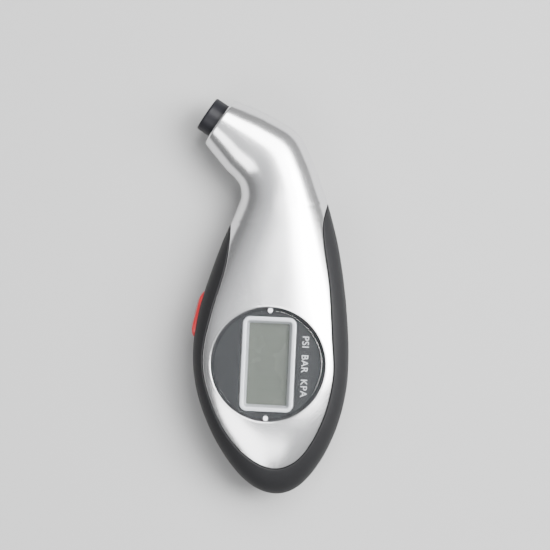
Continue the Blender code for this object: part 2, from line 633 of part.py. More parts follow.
def hose(name, radius, overrun=0.0, finish=None):
    """A round bar along the hose's route, longer by overrun at both ends."""
    start, barb = nozzle_point(MANIFOLD_BACK - GAP), nozzle_point(BARB_BACK)
    end, port_end = Vector((port_x, SENSOR_Y[1] + GAP, PORT_Z)), Vector((port_x, PORT_END, PORT_Z))
    route = [2 * start - barb, start, barb, *HOSE_ROUTE, port_end, end, 2 * end - port_end]
    points = through([list(point) for point in route], np.linspace(0.0, len(route) - 3.0, 26))
    curve = bpy.data.curves.new(name, "CURVE")
    curve.dimensions = "3D"
    curve.bevel_depth = radius * MM
    curve.bevel_resolution = 3
    curve.use_fill_caps = True
    spline = curve.splines.new("POLY")
    spline.points.add(len(points) - 1)
    if overrun:
        points[0] += overrun * np.array((start - barb).normalized())
        points[-1] += overrun * np.array((end - port_end).normalized())
    for point, (x, y, z) in zip(spline.points, points):
        point.co = (x * MM, y * MM, z * MM, 1.0)
    return meshed(bpy.data.objects.new(name + "_curve", curve), name, finish)


sensor_hose = hose("sensor_hose", HOSE_RADIUS, finish=SILICONE)
boolean(sensor_hose, "DIFFERENCE", hose("hose_bore", HOSE_BORE, overrun=1.0))


def hose_clamp(name, at, degrees):
    inner, half = HOSE_RADIUS + GAP, CLAMP_HALF
    profile = [(inner, half), (CLAMP_RADIUS, half), (CLAMP_RADIUS, -half), (inner, -half)]
    return aim(turned(name, profile, STEEL, steps=24), at, degrees)


hose_clamp("hose_clamp_manifold", nozzle_point(MANIFOLD_BACK - CLAMP_INSET), NOZZLE_DEG)
hose_clamp("hose_clamp_sensor", (port_x, SENSOR_Y[1] + CLAMP_INSET, PORT_Z), 90.0)


# Battery -------------------------------------------------------------------------------------

cap_middle = Vector((*CELL_AT, 0.0)) * MM
battery_cap = turned(
    "battery_cap",
    [
        (CELL_RADIUS + 0.6, CAP_TOP), (CAP_RADIUS, CAP_TOP), (CAP_RADIUS, CAP_BOTTOM + 0.3),
        (CAP_RADIUS - 0.3, CAP_BOTTOM), (0, CAP_BOTTOM), (0, CAP_FLOOR), (CELL_RADIUS + 0.6, CAP_FLOOR),
    ],
    SILVER, steps=48,
)
battery_cap.location = cap_middle
lugs = cap_bar("cap_lugs", 0.0, 0.0, (LUG_BOTTOM, CAP_TOP - 0.1))
boolean(lugs, "DIFFERENCE", cylinder("lug_core", CELL_AT, CAP_RADIUS - 0.6, (-5, 8), segments=48))
coin_slot = centred_box("coin_slot", SLOT_LENGTH, SLOT_WIDTH, (-1, CAP_BOTTOM + SLOT_DEPTH))
coin_slot.location = cap_middle
boolean(battery_cap, "UNION", lugs)
boolean(battery_cap, "DIFFERENCE", coin_slot)

battery_cell = turned(
    "battery_cell",
    [
        (0, CELL_TOP), (CELL_RADIUS - 1.4, CELL_TOP), (CELL_RADIUS - 1.2, CELL_TOP - 0.4),
        (CELL_RADIUS - 0.3, CELL_TOP - 0.4), (CELL_RADIUS, CELL_TOP - 0.7),
        (CELL_RADIUS, CELL_BOTTOM + 0.3), (CELL_RADIUS - 0.3, CELL_BOTTOM), (0, CELL_BOTTOM),
    ],
    STEEL, steps=48,
)
battery_cell.location = cap_middle

cell_holder = turned(
    "cell_holder",
    [
        (HOLDER_IN, UNDER_BOARD), (HOLDER_OUT, UNDER_BOARD),
        (HOLDER_OUT, HOLDER_FOOT), (HOLDER_IN, HOLDER_FOOT),
    ],
    BLACK, steps=36,
)
cell_holder.location = cap_middle
contact_gap = box("contact_gap", HOLDER_SLOT_X, (-HOLDER_SLOT_HALF, HOLDER_SLOT_HALF), (0, 14))
contact_gap.location = cap_middle
boolean(cell_holder, "DIFFERENCE", contact_gap)


def leaf(name, path):
    """A bent strip of spring sheet: path holds (distance from the cell's middle, height)."""
    build = bmesh.new()
    half = LEAF_WIDTH * MM / 2
    rows = [[build.verts.new((x * MM, side * half, z * MM)) for side in (-1, 1)] for x, z in path]
    for (a, b), (c, d) in zip(rows, rows[1:]):
        build.faces.new((a, b, d, c))
    strip = from_bmesh(name, build, STEEL)
    strip.location = cap_middle
    sheet = strip.modifiers.new("sheet", "SOLIDIFY")
    sheet.thickness = LEAF * MM
    sheet.offset = 0.0
    sheet.use_even_offset = True
    return strip


foot = UNDER_BOARD - LEAF / 2
touch = CELL_TOP + GAP + LEAF / 2
leaf("contact_negative", [(-7.0, foot), (-3.0, foot), (2.0, touch), (4.5, touch), (6.0, touch + 0.8)])
side = CELL_RADIUS + GAP + LEAF / 2 + 0.05
leaf(
    "contact_positive",
    [(side + 0.5, HOLDER_FOOT + 0.2), (side, HOLDER_FOOT + 1.0), (side, foot), (side + 2.8, foot)],
)
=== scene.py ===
# %% [markdown]
# # A digital tyre pressure gauge, finished in Blender
#
# The frame of this object is already made: its solids, its moving bodies and its real size. This lesson
# gives it its looks. The curved shells and the grip are built again as fine skins on the same ribs as the
# solids, the dial and the nozzle get their small edges, and every piece gets a finish. Lengths are written
# in millimetres and turned into metres as each mesh is made.

# %% The frame
import math

import bmesh
import bpy
import numpy as np
from mathutils import Matrix, Vector


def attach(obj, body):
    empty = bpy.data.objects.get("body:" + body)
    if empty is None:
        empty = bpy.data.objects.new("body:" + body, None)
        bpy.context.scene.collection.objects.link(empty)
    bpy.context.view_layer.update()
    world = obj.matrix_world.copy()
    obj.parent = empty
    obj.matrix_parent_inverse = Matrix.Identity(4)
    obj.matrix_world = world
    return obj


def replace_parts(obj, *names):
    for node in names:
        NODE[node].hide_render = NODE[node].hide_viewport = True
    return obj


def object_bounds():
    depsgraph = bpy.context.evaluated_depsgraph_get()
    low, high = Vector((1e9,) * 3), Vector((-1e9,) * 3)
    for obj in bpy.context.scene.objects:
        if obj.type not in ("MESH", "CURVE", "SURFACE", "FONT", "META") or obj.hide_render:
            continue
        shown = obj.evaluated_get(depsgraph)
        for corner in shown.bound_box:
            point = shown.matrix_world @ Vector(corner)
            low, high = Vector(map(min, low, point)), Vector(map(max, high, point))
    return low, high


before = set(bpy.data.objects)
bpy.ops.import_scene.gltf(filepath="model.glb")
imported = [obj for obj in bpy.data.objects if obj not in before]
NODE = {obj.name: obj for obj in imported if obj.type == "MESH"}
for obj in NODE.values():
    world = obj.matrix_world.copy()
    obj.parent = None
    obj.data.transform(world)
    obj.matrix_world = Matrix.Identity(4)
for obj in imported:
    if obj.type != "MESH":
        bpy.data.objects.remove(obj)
cad_low, cad_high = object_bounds()
MM = 0.001
print(f"{len(NODE)} nodes, {[round((b - a) / MM, 1) for a, b in zip(cad_low, cad_high)]} mm")


# %% [markdown]
# ## Camera
#
# The gauge lies on its back and is seen from straight above through a long lens, turned a little so that
# its display leans to the right. The focal length could be typed in, but here it is worked out from the
# width that the view takes in and from the height of the camera, so each of the two can be changed on its
# own.

# %% Camera
VIEW_WIDTH = 178.75
CAMERA_HEIGHT = 1200.0
CAMERA_TURN = math.radians(2.65)
AIM = (0.94, 28.84, 13.0)
SENSOR = 36.0

camera_data = bpy.data.cameras.new("camera")
camera_data.sensor_width = SENSOR
camera_data.lens = SENSOR * CAMERA_HEIGHT / VIEW_WIDTH
camera = bpy.data.objects.new("camera", camera_data)
camera.location = (AIM[0] * MM, AIM[1] * MM, (AIM[2] + CAMERA_HEIGHT) * MM)
camera.rotation_euler = (0.0, 0.0, CAMERA_TURN)
bpy.context.scene.collection.objects.link(camera)
bpy.context.scene.camera = camera
print(f"lens {camera_data.lens:.0f} mm")


# %% [markdown]
# ## Light
#
# A satin silver body has hardly any colour of its own: it shows what stands round it. So the light is built
# as a product studio, with large panels that the silver can mirror. One on the right draws the long
# highlight down the body, one beyond the head lights the bend, and a weak one on the left keeps that side
# from going black. A point lamp would only leave small hot spots.

# %% Panels
LIT_POINT = Vector((0.0, 0.025, 0.0))
PANELS = {
    "right_panel": ((0.43, 0.06, 0.64), (0.34, 0.8), 13.0),
    "head_panel": ((0.24, 0.40, 0.76), (0.6, 0.52), 16.0),
    "left_panel": ((-0.30, -0.42, 0.72), (0.7, 0.46), 6.5),
}


def panel(name, place, size, watts):
    """A soft panel at a place in metres from the dial, turned to face the gauge."""
    light = bpy.data.lights.new(name, "AREA")
    light.shape = "RECTANGLE"
    light.size, light.size_y = size
    light.energy = watts
    lamp = bpy.data.objects.new(name, light)
    lamp.location = place
    lamp.rotation_euler = (LIT_POINT - lamp.location).to_track_quat("-Z", "Y").to_euler()
    bpy.context.scene.collection.objects.link(lamp)
    return lamp


for name, (place, size, watts) in PANELS.items():
    print(name, "is", round((panel(name, place, size, watts).location - LIT_POINT).length, 2), "m away")


# %% [markdown]
# The floor is wide, and panels alone would leave it dark far from the gauge. So there is also a sun with a
# very wide disc, like the light of a far window: it is as strong at the edge of the floor as in the middle,
# and its shadows are soft.

# %% Far window
SUN_FROM = Vector((0.43, 0.12, 0.66))
SUN_WIDTH, SUN_STRENGTH = math.radians(26.0), 3.0

sun_data = bpy.data.lights.new("far_window", "SUN")
sun_data.angle = SUN_WIDTH
sun_data.energy = SUN_STRENGTH
sun = bpy.data.objects.new("far_window", sun_data)
sun.rotation_euler = SUN_FROM.to_track_quat("Z", "Y").to_euler()
bpy.context.scene.collection.objects.link(sun)
slant = math.degrees(SUN_FROM.angle(Vector((0, 0, 1))))
print("the far window stands", round(slant), "degrees from overhead")


# %% [markdown]
# The sky is nearly black at the horizon and bright overhead. The steep sides of the silver mirror the low
# part of it, which turns them dark and draws the edges. Seen straight from the camera, such a sky would be
# a black wall behind a pale floor, so camera rays meet a plain grey backdrop instead.

# %% Sky and backdrop
SKY = ((0.0, 0.01), (0.5, 0.04), (0.8, 0.42), (1.0, 0.8))
SKY_TINT = (0.95, 0.97, 1.0)
BACKDROP = (0.36, 0.36, 0.36, 1.0)

world = bpy.data.worlds.new("studio")
bpy.context.scene.world = world
world.use_nodes = True
sky = world.node_tree
height = sky.nodes.new("ShaderNodeSeparateXYZ")
gradient = sky.nodes.new("ShaderNodeValToRGB")
backdrop = sky.nodes.new("ShaderNodeMix")
backdrop.data_type = "RGBA"
for_the_rest, for_the_camera, mixed = backdrop.inputs[6], backdrop.inputs[7], backdrop.outputs[2]
for_the_camera.default_value = BACKDROP
sky.links.new(sky.nodes.new("ShaderNodeTexCoord").outputs["Generated"], height.inputs["Vector"])
sky.links.new(height.outputs["Z"], gradient.inputs["Fac"])
sky.links.new(sky.nodes.new("ShaderNodeLightPath").outputs["Is Camera Ray"], backdrop.inputs["Factor"])
sky.links.new(gradient.outputs["Color"], for_the_rest)
sky.links.new(mixed, sky.nodes["Background"].inputs["Color"])
while len(gradient.color_ramp.elements) < len(SKY):
    gradient.color_ramp.elements.new(1.0)
for element, (place, grey) in zip(gradient.color_ramp.elements, SKY):
    element.position = place
    element.color = (*(grey * part for part in SKY_TINT), 1.0)
print("sky from", SKY[0][1], "at the horizon to", SKY[-1][1], "overhead")


# %% [markdown]
# ## Finishes
#
# A finish is a small tree of shader nodes. It could be drawn by hand in the node editor, but sums of noises
# soon fill a screen there. `Wire` wraps one socket, so that a sum can be written as a sum.

# %% Sums on sockets
class Wire:
    """An output socket of a finish, with arithmetic on it."""

    def __init__(self, finish, socket):
        self.finish = finish
        self.socket = socket

    def sum(self, operation, *values):
        return self.finish.node("ShaderNodeMath", {"operation": operation}, dict(enumerate(values)))["Value"]

    def __add__(self, other):
        return self.sum("ADD", self, other)

    def __sub__(self, other):
        return self.sum("SUBTRACT", self, other)

    def __rsub__(self, other):
        return self.sum("SUBTRACT", other, self)

    def __mul__(self, other):
        return self.sum("MULTIPLY", self, other)

    def __pow__(self, other):
        return self.sum("POWER", self, other)

    __radd__ = __add__
    __rmul__ = __mul__


SUMS = [name.strip("_") for name in vars(Wire) if name in ("__add__", "__sub__", "__mul__", "__pow__")]
print("a wire can", ", ".join(SUMS))


# %% [markdown]
# `Finish` is a material with its main shader. Its method `node` adds any node from its type, its settings
# and the values of its sockets; the other methods are the few things that every finish here needs: noise
# measured in millimetres, a ramp, a blend of two colours, and relief.

# %% A finish
class Added:
    """A node that was added to a finish. Indexing it gives one of its outputs."""

    def __init__(self, finish, node):
        self.finish = finish
        self.node = node

    def __getitem__(self, name):
        return Wire(self.finish, self.node.outputs[name])


class Finish:
    """A material, its Principled shader, and the means to add nodes to it."""

    def __init__(self, name, colour, roughness, metallic=0.0, **fixed):
        self.material = bpy.data.materials.new(name)
        self.material.use_nodes = True
        self.tree = self.material.node_tree
        self.shader = self.tree.nodes["Principled BSDF"]
        self.set(Base_Color=(*colour, 1.0), Roughness=roughness, Metallic=metallic, **fixed)

    def node(self, kind, settings=None, inputs=None):
        node = self.tree.nodes.new(kind)
        for name, value in (settings or {}).items():
            if name == "stops":
                self.stops(node.color_ramp, value)
            else:
                setattr(node, name, value)
        for name, value in (inputs or {}).items():
            self.feed(node.inputs[name], value)
        return Added(self, node)

    def stops(self, ramp, stops):
        while len(ramp.elements) < len(stops):
            ramp.elements.new(1.0)
        for element, (place, grey) in zip(ramp.elements, stops):
            element.position = place
            element.color = (grey, grey, grey, 1.0)

    def feed(self, socket, value):
        if isinstance(value, Wire):
            self.tree.links.new(value.socket, socket)
        else:
            socket.default_value = value

    def set(self, **sockets):
        for name, value in sockets.items():
            self.feed(self.shader.inputs[name.replace("_", " ")], value)
        return self

    def place(self):
        """Where a point is on the piece, in metres from the frame's origin."""
        return self.node("ShaderNodeTexCoord")["Object"]

    def noise(self, size, detail=2.0, rough=0.5, stretch=(1.0, 1.0, 1.0)):
        """Noise from 0 to 1, in blobs of about size millimetres. A small stretch draws them out that way."""
        factors = {0: self.place(), 1: [part / (size * MM) for part in stretch]}
        scaled = self.node("ShaderNodeVectorMath", {"operation": "MULTIPLY"}, factors)["Vector"]
        made = self.node(
            "ShaderNodeTexNoise", {"noise_dimensions": "3D"},
            {"Vector": scaled, "Scale": 1.0, "Detail": detail, "Roughness": rough},
        )
        return made["Fac"]

    def ramp(self, value, *stops):
        """A value from 0 to 1, bent by stops of (place, grey)."""
        grey = self.node("ShaderNodeValToRGB", {"stops": stops}, {"Fac": value})["Color"]
        return self.node("ShaderNodeSeparateColor", inputs={"Color": grey})["Red"]

    def blend(self, factor, first, second):
        mix = self.node("ShaderNodeMix", {"data_type": "RGBA"}, {"Factor": factor})
        self.feed(mix.node.inputs[6], first)
        self.feed(mix.node.inputs[7], second)
        return Wire(self, mix.node.outputs[2])

    def bump(self, height, depth, strength=1.0):
        """Relief whose full height is depth millimetres."""
        relief = {"Height": height, "Distance": depth * MM, "Strength": strength}
        return self.set(Normal=self.node("ShaderNodeBump", inputs=relief)["Normal"])


def shade(level, tint=(1.0, 1.0, 1.0)):
    """A grey of some level, with a slight tint."""
    return (level * tint[0], level * tint[1], level * tint[2], 1.0)


def told(finish):
    """Print what a finish is made of, and pass it on."""
    print(finish.material.name, "has", len(finish.tree.nodes), "nodes")
    return finish


print("a finish can", ", ".join(name for name in vars(Finish) if not name.startswith("_")))


# %% [markdown]
# The shells are moulded plastic, sprayed with a silver lacquer. Its aluminium flakes lie nearly flat, so
# the paint is metallic with broad, soft highlights, and each flake tips the light a little its own way.
# Cell noise gives the flakes, slow noise the faint unevenness of the spray.

# %% Silver lacquer
FLAKE = 0.16


def silver_lacquer():
    paint = Finish("silver_lacquer", (0.7, 0.7, 0.71), 0.26, 0.9, Coat_Roughness=0.08, Coat_IOR=1.45)
    cells = paint.node(
        "ShaderNodeTexVoronoi", {"feature": "F1"}, {"Vector": paint.place(), "Scale": 1 / (FLAKE * MM)}
    )["Color"]
    flake = paint.node("ShaderNodeSeparateColor", inputs={"Color": cells})["Red"]
    spray = paint.noise(9.0, 3.0)
    scuff = paint.ramp(paint.noise(2.2, 6.0, 0.7, (1.0, 0.25, 1.0)), (0.62, 0.0), (0.78, 1.0))
    tone = paint.blend(flake, shade(0.66, (1.0, 1.0, 1.015)), shade(0.76, (1.0, 1.0, 1.01)))
    paint.set(
        Base_Color=paint.blend(scuff * 0.12, tone, shade(0.5)),
        Roughness=0.16 + spray * 0.05 + flake * 0.04 + scuff * 0.06,
        Coat_Weight=0.25 + spray * 0.1,
    )
    return paint.bump(flake * 0.5 + spray * 0.3, 0.012, 0.35)


SILVER = told(silver_lacquer())


# %% [markdown]
# The grip is soft rubber moulded over the shells: nearly black, dull, with the fine pebbled grain of a
# spark-eroded mould. The grain is bump, and dust in its pits lightens it a little.

# %% Grip rubber
def grip_rubber(name="grip_rubber_skin", level=0.008):
    rubber = Finish(name, (level, level, level * 1.1), 0.55, Specular_IOR_Level=0.2)
    grain = rubber.noise(0.3, 2.0, 0.55)
    wear = rubber.noise(14.0, 4.0, 0.6)
    pits = rubber.ramp(grain, (0.3, 1.0), (0.55, 0.0))
    rubber.set(
        Base_Color=rubber.blend(pits * 0.35, shade(level, (1.0, 1.0, 1.12)), shade(level * 2.1)),
        Roughness=0.5 + wear * 0.14 + pits * 0.06,
    )
    return rubber.bump(grain, 0.04, 0.5)


RUBBER = told(grip_rubber())
SEAL_RUBBER = told(grip_rubber("seal_rubber_skin", 0.03))


# %% [markdown]
# Moulded plastics differ in colour, in gloss and in how coarse the grain of their mould is, so one function
# makes them all from those three.

# %% Moulded plastics
def moulded(name, colour, gloss_roughness, grain_size=0.25, depth=0.01, **fixed):
    plastic = Finish(name, colour, gloss_roughness, **fixed)
    grain = plastic.noise(grain_size, 2.0)
    haze = plastic.noise(6.0, 4.0, 0.6)
    tint = tuple(part * 1.25 + 0.004 for part in colour)
    plastic.set(
        Base_Color=plastic.blend(haze * 0.5, (*colour, 1.0), (*tint, 1.0)),
        Roughness=gloss_roughness - 0.04 + haze * 0.08,
    )
    return plastic.bump(grain, depth, 0.4)


NOZZLE_BLACK = told(moulded("nozzle_black", (0.008, 0.008, 0.01), 0.42, 0.2, 0.008, Specular_IOR_Level=0.15))
DARK_PLASTIC = told(moulded("dark_plastic", (0.03, 0.03, 0.034), 0.45))
BUTTON_RED = told(moulded("button_red", (0.36, 0.008, 0.013), 0.36, 0.25, 0.012))
BEZEL = told(moulded("bezel_silver", (0.52, 0.52, 0.55), 0.36, 0.2, 0.006, metallic=0.3))


# %% [markdown]
# The screws and the pin are bare metal. A turned or a stamped piece carries fine lines, so its noise can be
# drawn out along one axis. A few dull marks are where hands and tools have touched.

# %% Metals
def metal(name, colour, roughness, brushed=(1.0, 1.0, 1.0)):
    """Bare metal. brushed is near 0 in the direction of its lines."""
    made = Finish(name, colour, roughness, 1.0)
    lines = made.noise(0.2, 3.0, 0.6, brushed)
    marks = made.noise(2.5, 4.0, 0.65)
    dull = tuple(part * 0.72 for part in colour)
    made.set(
        Base_Color=made.blend(marks * 0.6, (*colour, 1.0), (*dull, 1.0)),
        Roughness=roughness - 0.06 + marks * 0.14 + lines * 0.06,
    )
    return made.bump(lines, 0.006, 0.5)


STEEL = told(metal("plated_steel", (0.62, 0.62, 0.63), 0.3))
BRASS = told(metal("turned_brass", (0.76, 0.57, 0.27), 0.26, (1.0, 1.0, 0.1)))


# %% [markdown]
# ## The body's surface
#
# The body has no flat side and no straight edge. Its solid is a loft through ribs: at each rib, a left
# edge, a right edge, a rise to the front, a depth to the back, and how square the section is. The fine
# skins use the same ribs, so they fit the solid, and a smooth curve through the ribs gives any place
# between.

# %% Ribs and the curve through them
MID_Z = 13.0
GAP = 0.3
RIBS = (
    ((4.6, -42.1), (4.6, -42.1), 0.0, 0.0, 2.2),
    ((-3.2, -39.9), (11.6, -39.4), 5.6, 5.6, 2.3),
    ((-10.6, -33.2), (18.0, -31.6), 9.8, 10.0, 2.6),
    ((-17.6, -22.6), (22.9, -20.8), 12.5, 12.9, 3.0),
    ((-22.6, -10.3), (25.6, -9.0), 13.5, 14.0, 3.3),
    ((-24.5, 2.0), (26.1, 2.5), 13.8, 14.2, 3.4),
    ((-23.4, 15.5), (25.1, 15.5), 13.5, 14.1, 3.3),
    ((-20.5, 26.5), (23.5, 27.0), 12.8, 13.6, 3.0),
    ((-16.7, 38.4), (21.0, 39.5), 11.8, 12.5, 2.6),
    ((-13.2, 47.5), (17.6, 51.0), 10.9, 11.3, 2.4),
    ((-11.4, 53.2), (14.6, 59.0), 10.2, 10.4, 2.3),
    ((-11.7, 56.8), (11.2, 67.2), 9.7, 9.7, 2.2),
    ((-13.2, 59.2), (6.0, 75.3), 9.3, 9.3, 2.2),
    ((-16.8, 62.6), (-3.0, 80.4), 9.0, 9.0, 2.2),
    ((-20.3, 66.5), (-9.0, 82.9), 8.7, 8.7, 2.1),
    ((-23.9, 70.6), (-15.0, 85.0), 8.5, 8.5, 2.1),
)
LAST_RIB = len(RIBS) - 1
FACE_EDGE = (
    (-16.2, 51.0), (-14.6, 46.0), (-14.4, 38.5), (-15.4, 29.5), (-19.0, 15.5), (-21.2, 2.0),
    (-19.2, -9.5), (-12.8, -22.5), (-4.2, -31.0), (4.4, -33.6), (12.2, -29.0), (18.4, -17.2),
    (21.2, -3.5), (20.3, 9.5), (18.7, 26.0), (16.3, 39.5), (15.8, 46.5), (17.8, 55.0),
)


def through(rows, places):
    """Values of a smooth curve through rows of numbers; row i is at place i - 1."""
    rows = np.asarray(rows, float)
    whole = np.clip(np.floor(places).astype(int), 0, len(rows) - 4)
    part = (places - whole)[..., None]
    a, b, c, d = (rows[whole + step] for step in range(4))
    square, cube = 2 * a - 5 * b + 4 * c - d, 3 * b - a - 3 * c + d
    return 0.5 * (2 * b + (c - a) * part + square * part**2 + cube * part**3)


def rib_rows():
    """The ribs as rows of numbers, with one more at each end. The tail's extra row swaps the sides."""
    rows = [[*left, *right, front, back, power] for left, right, front, back, power in RIBS]
    first, last, before = rows[1], rows[-1], rows[-2]
    tail = [*first[2:4], *first[0:2], -first[4], -first[5], first[6]]
    return np.array([tail, *rows, [2 * end - back for end, back in zip(last, before)]])


ROWS = rib_rows()


def section(places):
    """Middle and half width in plan, rise, depth and squareness of the sections at some rib places."""
    row = through(ROWS, np.asarray(places, float))
    left, right = row[..., 0:2], row[..., 2:4]
    return (left + right) / 2, (right - left) / 2, row[..., 4], row[..., 5], row[..., 6]


def skin(places, across, side):
    """Points of the surface: across runs from -1 to 1 over a section, and side is 1 for the front."""
    middle, half, rise, depth, power = section(places)
    lift = np.clip(1 - np.abs(across) ** power, 0.0, 1.0) ** (1 / power)
    flat = middle + np.asarray(across)[..., None] * half
    height = MID_Z + np.where(side > 0, rise * lift, -depth * lift)
    return np.concatenate([flat, np.maximum(height, 0.0)[..., None]], axis=-1)


print("widest section", round(float(np.linalg.norm(section(5.0)[1]) * 2), 1), "mm")


# %% [markdown]
# The silver face ends at an edge that is drawn in plan and dropped onto the surface. Each skin is a grid
# whose outer rows run exactly along that edge. A Boolean cut could do it too, but it would leave a ragged
# edge on so fine a mesh. For the grid, one has to know where a section crosses the edge.

# %% Where the edge crosses the sections
EDGE_STEPS, HALVINGS = 1600, 40


def face_edge(count, offset=0.0):
    """The silver face's edge in plan, moved outwards by offset, and its outward directions."""
    first, second, last, before = FACE_EDGE[0], FACE_EDGE[1], FACE_EDGE[-1], FACE_EDGE[-2]
    rows = [[2 * a - b for a, b in zip(first, second)], *FACE_EDGE, [2 * a - b for a, b in zip(last, before)]]
    path = through(rows, np.linspace(0.0, len(FACE_EDGE) - 1.0, count))
    along = np.gradient(path, axis=0)
    out = np.column_stack([along[:, 1], -along[:, 0]])
    out /= np.linalg.norm(out, axis=1)[:, None]
    out *= -np.sign(np.sum((path.mean(axis=0) - path) * out, axis=1).mean())
    return path + offset * out, out


EDGE_PATH, _ = face_edge(EDGE_STEPS)


def crossings(place, path=EDGE_PATH):
    """Where one section crosses the edge, as positions across from -1 to 1."""
    middle, half, _, _, _ = section(np.array(place))
    offset = path - middle
    beside = half[0] * offset[:, 1] - half[1] * offset[:, 0]
    hits = np.nonzero(beside[:-1] * beside[1:] < 0)[0]
    share = beside[hits] / (beside[hits] - beside[hits + 1])
    points = offset[hits] + share[:, None] * (offset[hits + 1] - offset[hits])
    across = points @ half / (half @ half)
    return np.sort(across[np.abs(across) < 1.0])


def spans(place, path=EDGE_PATH):
    """Left and right end of the silver face over one section."""
    found = crossings(place, path)
    left = found[0] if len(found) and found[0] < 0 or len(found) > 1 else -1.0
    right = found[-1] if len(found) and found[-1] > 0 or len(found) > 1 else 1.0
    return left, right


def tail_place():
    """The rib place where the silver face begins, found by halving."""
    low, high = 0.5, 3.0
    for _ in range(HALVINGS):
        middle = (low + high) / 2
        low, high = (low, middle) if len(crossings(middle)) > 1 else (middle, high)
    return high


TAIL_PLACE = tail_place()
print("the face begins at rib", round(TAIL_PLACE, 3), "and is", np.round(spans(5.0), 2), "wide at the dial")


# %% [markdown]
# Other pieces start from a point in plan: the rim of the dial, the grip, the mouths of the screw wells. The
# section that passes over that point has no formula, so it is found by halving: is the point ahead of this
# section or behind it? All points of a piece are halved at once.

# %% From plan to surface
FIRST_PLACE = 0.02


def lift_to_surface(plan, side):
    """Surface points above (side 1) or below (side -1) points of the plan, and how far across they are."""
    low, high = np.full(plan.shape[:-1], FIRST_PLACE), np.full(plan.shape[:-1], float(LAST_RIB))
    for _ in range(HALVINGS):
        place = (low + high) / 2
        middle, half, _, _, _ = section(place)
        offset = plan - middle
        ahead = half[..., 0] * offset[..., 1] - half[..., 1] * offset[..., 0] > 0
        low, high = np.where(ahead, place, low), np.where(ahead, high, place)
    middle, half, _, _, _ = section(low)
    across = np.sum((plan - middle) * half, axis=-1) / np.sum(half * half, axis=-1)
    return skin(low, np.clip(across, -1.0, 1.0), side), across


DIAL_MIDDLE = np.zeros((1, 2))
print("over the dial's middle the surface is at z", np.round(lift_to_surface(DIAL_MIDDLE, 1)[0][0, 2], 2))


# %% [markdown]
# ## Making skins
#
# Every piece ends the same way, whatever it was built from: its mesh becomes an object, gets its finish,
# and is tied to the body that it moves with.

# %% From mesh to piece
SMOOTH_TO = math.radians(40)


def scene_object(name, mesh, finish, body="body", slot=None):
    """Link a piece, give it its finish, and make it ride on its body."""
    made = bpy.data.objects.new(name, mesh)
    bpy.context.scene.collection.objects.link(made)
    mesh.materials.clear()
    mesh.materials.append(finish.material)
    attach(made, body)
    return made


print("edges sharper than", round(math.degrees(SMOOTH_TO)), "degrees stay sharp")


# %% [markdown]
# A moulded edge is never sharp. `Skin` takes a grid of points and welds a rolled lip to each open side:
# from the last row, the surface turns through a quarter circle and dives into the gap beside it. A bevel
# modifier could round an edge too, but it can't make the wall behind the gap, which is what makes the joint
# look deep.

# %% A skin with rolled lips
LIP, LIP_DEPTH = 0.35, 2.0
WELD = 0.004 * MM


def unit(vectors):
    """The vectors, each made 1 long."""
    return vectors / np.maximum(np.linalg.norm(vectors, axis=-1, keepdims=True), 1e-12)


class Skin:
    """A surface that is built from grids and lips, in millimetres."""

    def __init__(self):
        self.build = bmesh.new()

    def grid(self, points, wrap=False):
        """Faces over a grid of points; returns the rows of vertices."""
        rows = [[self.build.verts.new(p * MM) for p in row] for row in points]
        self.join(rows, wrap)
        return rows

    def join(self, rows, wrap=False):
        """Faces between neighbouring rows of vertices."""
        for lower, upper in zip(rows, rows[1:]):
            count = len(lower) if wrap else len(lower) - 1
            for step in range(count):
                after = (step + 1) % len(lower)
                corners = list(dict.fromkeys((lower[step], lower[after], upper[after], upper[step])))
                if len(corners) > 2:
                    self.build.faces.new(corners)

    def lip(self, edge, inner, radius, depth, steps=5, wrap=False):
        """A rolled lip along a row of vertices. inner holds a vertex of the surface beside each of them."""
        at = np.array([v.co for v in edge]) / MM
        along = unit(np.roll(at, -1, axis=0) - np.roll(at, 1, axis=0) if wrap else np.gradient(at, axis=0))
        outward = at - np.array([v.co for v in inner]) / MM
        outward = unit(outward - np.sum(outward * along, axis=1)[:, None] * along)
        normal = unit(np.cross(along, outward))
        if np.sum(normal[:, 2] * (at[:, 2] - MID_Z)) < 0:
            normal = -normal
        rows = [edge]
        for step in range(1, steps + 1):
            angle = math.pi / 2 * step / steps
            roll = radius * (math.sin(angle) * outward - (1 - math.cos(angle)) * normal)
            rows.append([self.build.verts.new(p * MM) for p in at + roll])
        down = at + radius * outward - depth * normal
        rows.append([self.build.verts.new(p * MM) for p in down])
        self.join(rows, wrap)
        return rows[-1]

    def finish(self, name, finish, thickness=0.0, **words):
        """The piece itself, with a wall of some thickness inwards if one is asked for."""
        bmesh.ops.remove_doubles(self.build, verts=self.build.verts, dist=WELD)
        bmesh.ops.recalc_face_normals(self.build, faces=self.build.faces)
        mesh = bpy.data.meshes.new(name)
        self.build.to_mesh(mesh)
        self.build.free()
        mesh.shade_smooth()
        mesh.set_sharp_from_angle(angle=SMOOTH_TO)
        made = scene_object(name, mesh, finish, **words)
        if thickness:
            wall = made.modifiers.new("wall", "SOLIDIFY")
            wall.thickness = thickness * MM
            wall.offset = -1.0
        return made


print(f"a lip rolls over {LIP} mm and dives {LIP_DEPTH} mm")


# %% [markdown]
# ## The two shells
#
# On the real gauge the shells are one mould each, parted along the middle. Over the neck and the head they
# meet in a fine line; along the sides and the tail they stop at the grip. Each skin is a stack of section
# curves from the tail to the head. The points of a curve are spread evenly along it, because even steps
# from side to side would leave the steep sides with hardly any faces.

# %% One section curve
CURVE_STEPS = 400


def travelled(points):
    """How far along a row of points each of them is."""
    return np.concatenate([[0.0], np.cumsum(np.linalg.norm(np.diff(points, axis=0), axis=1))])


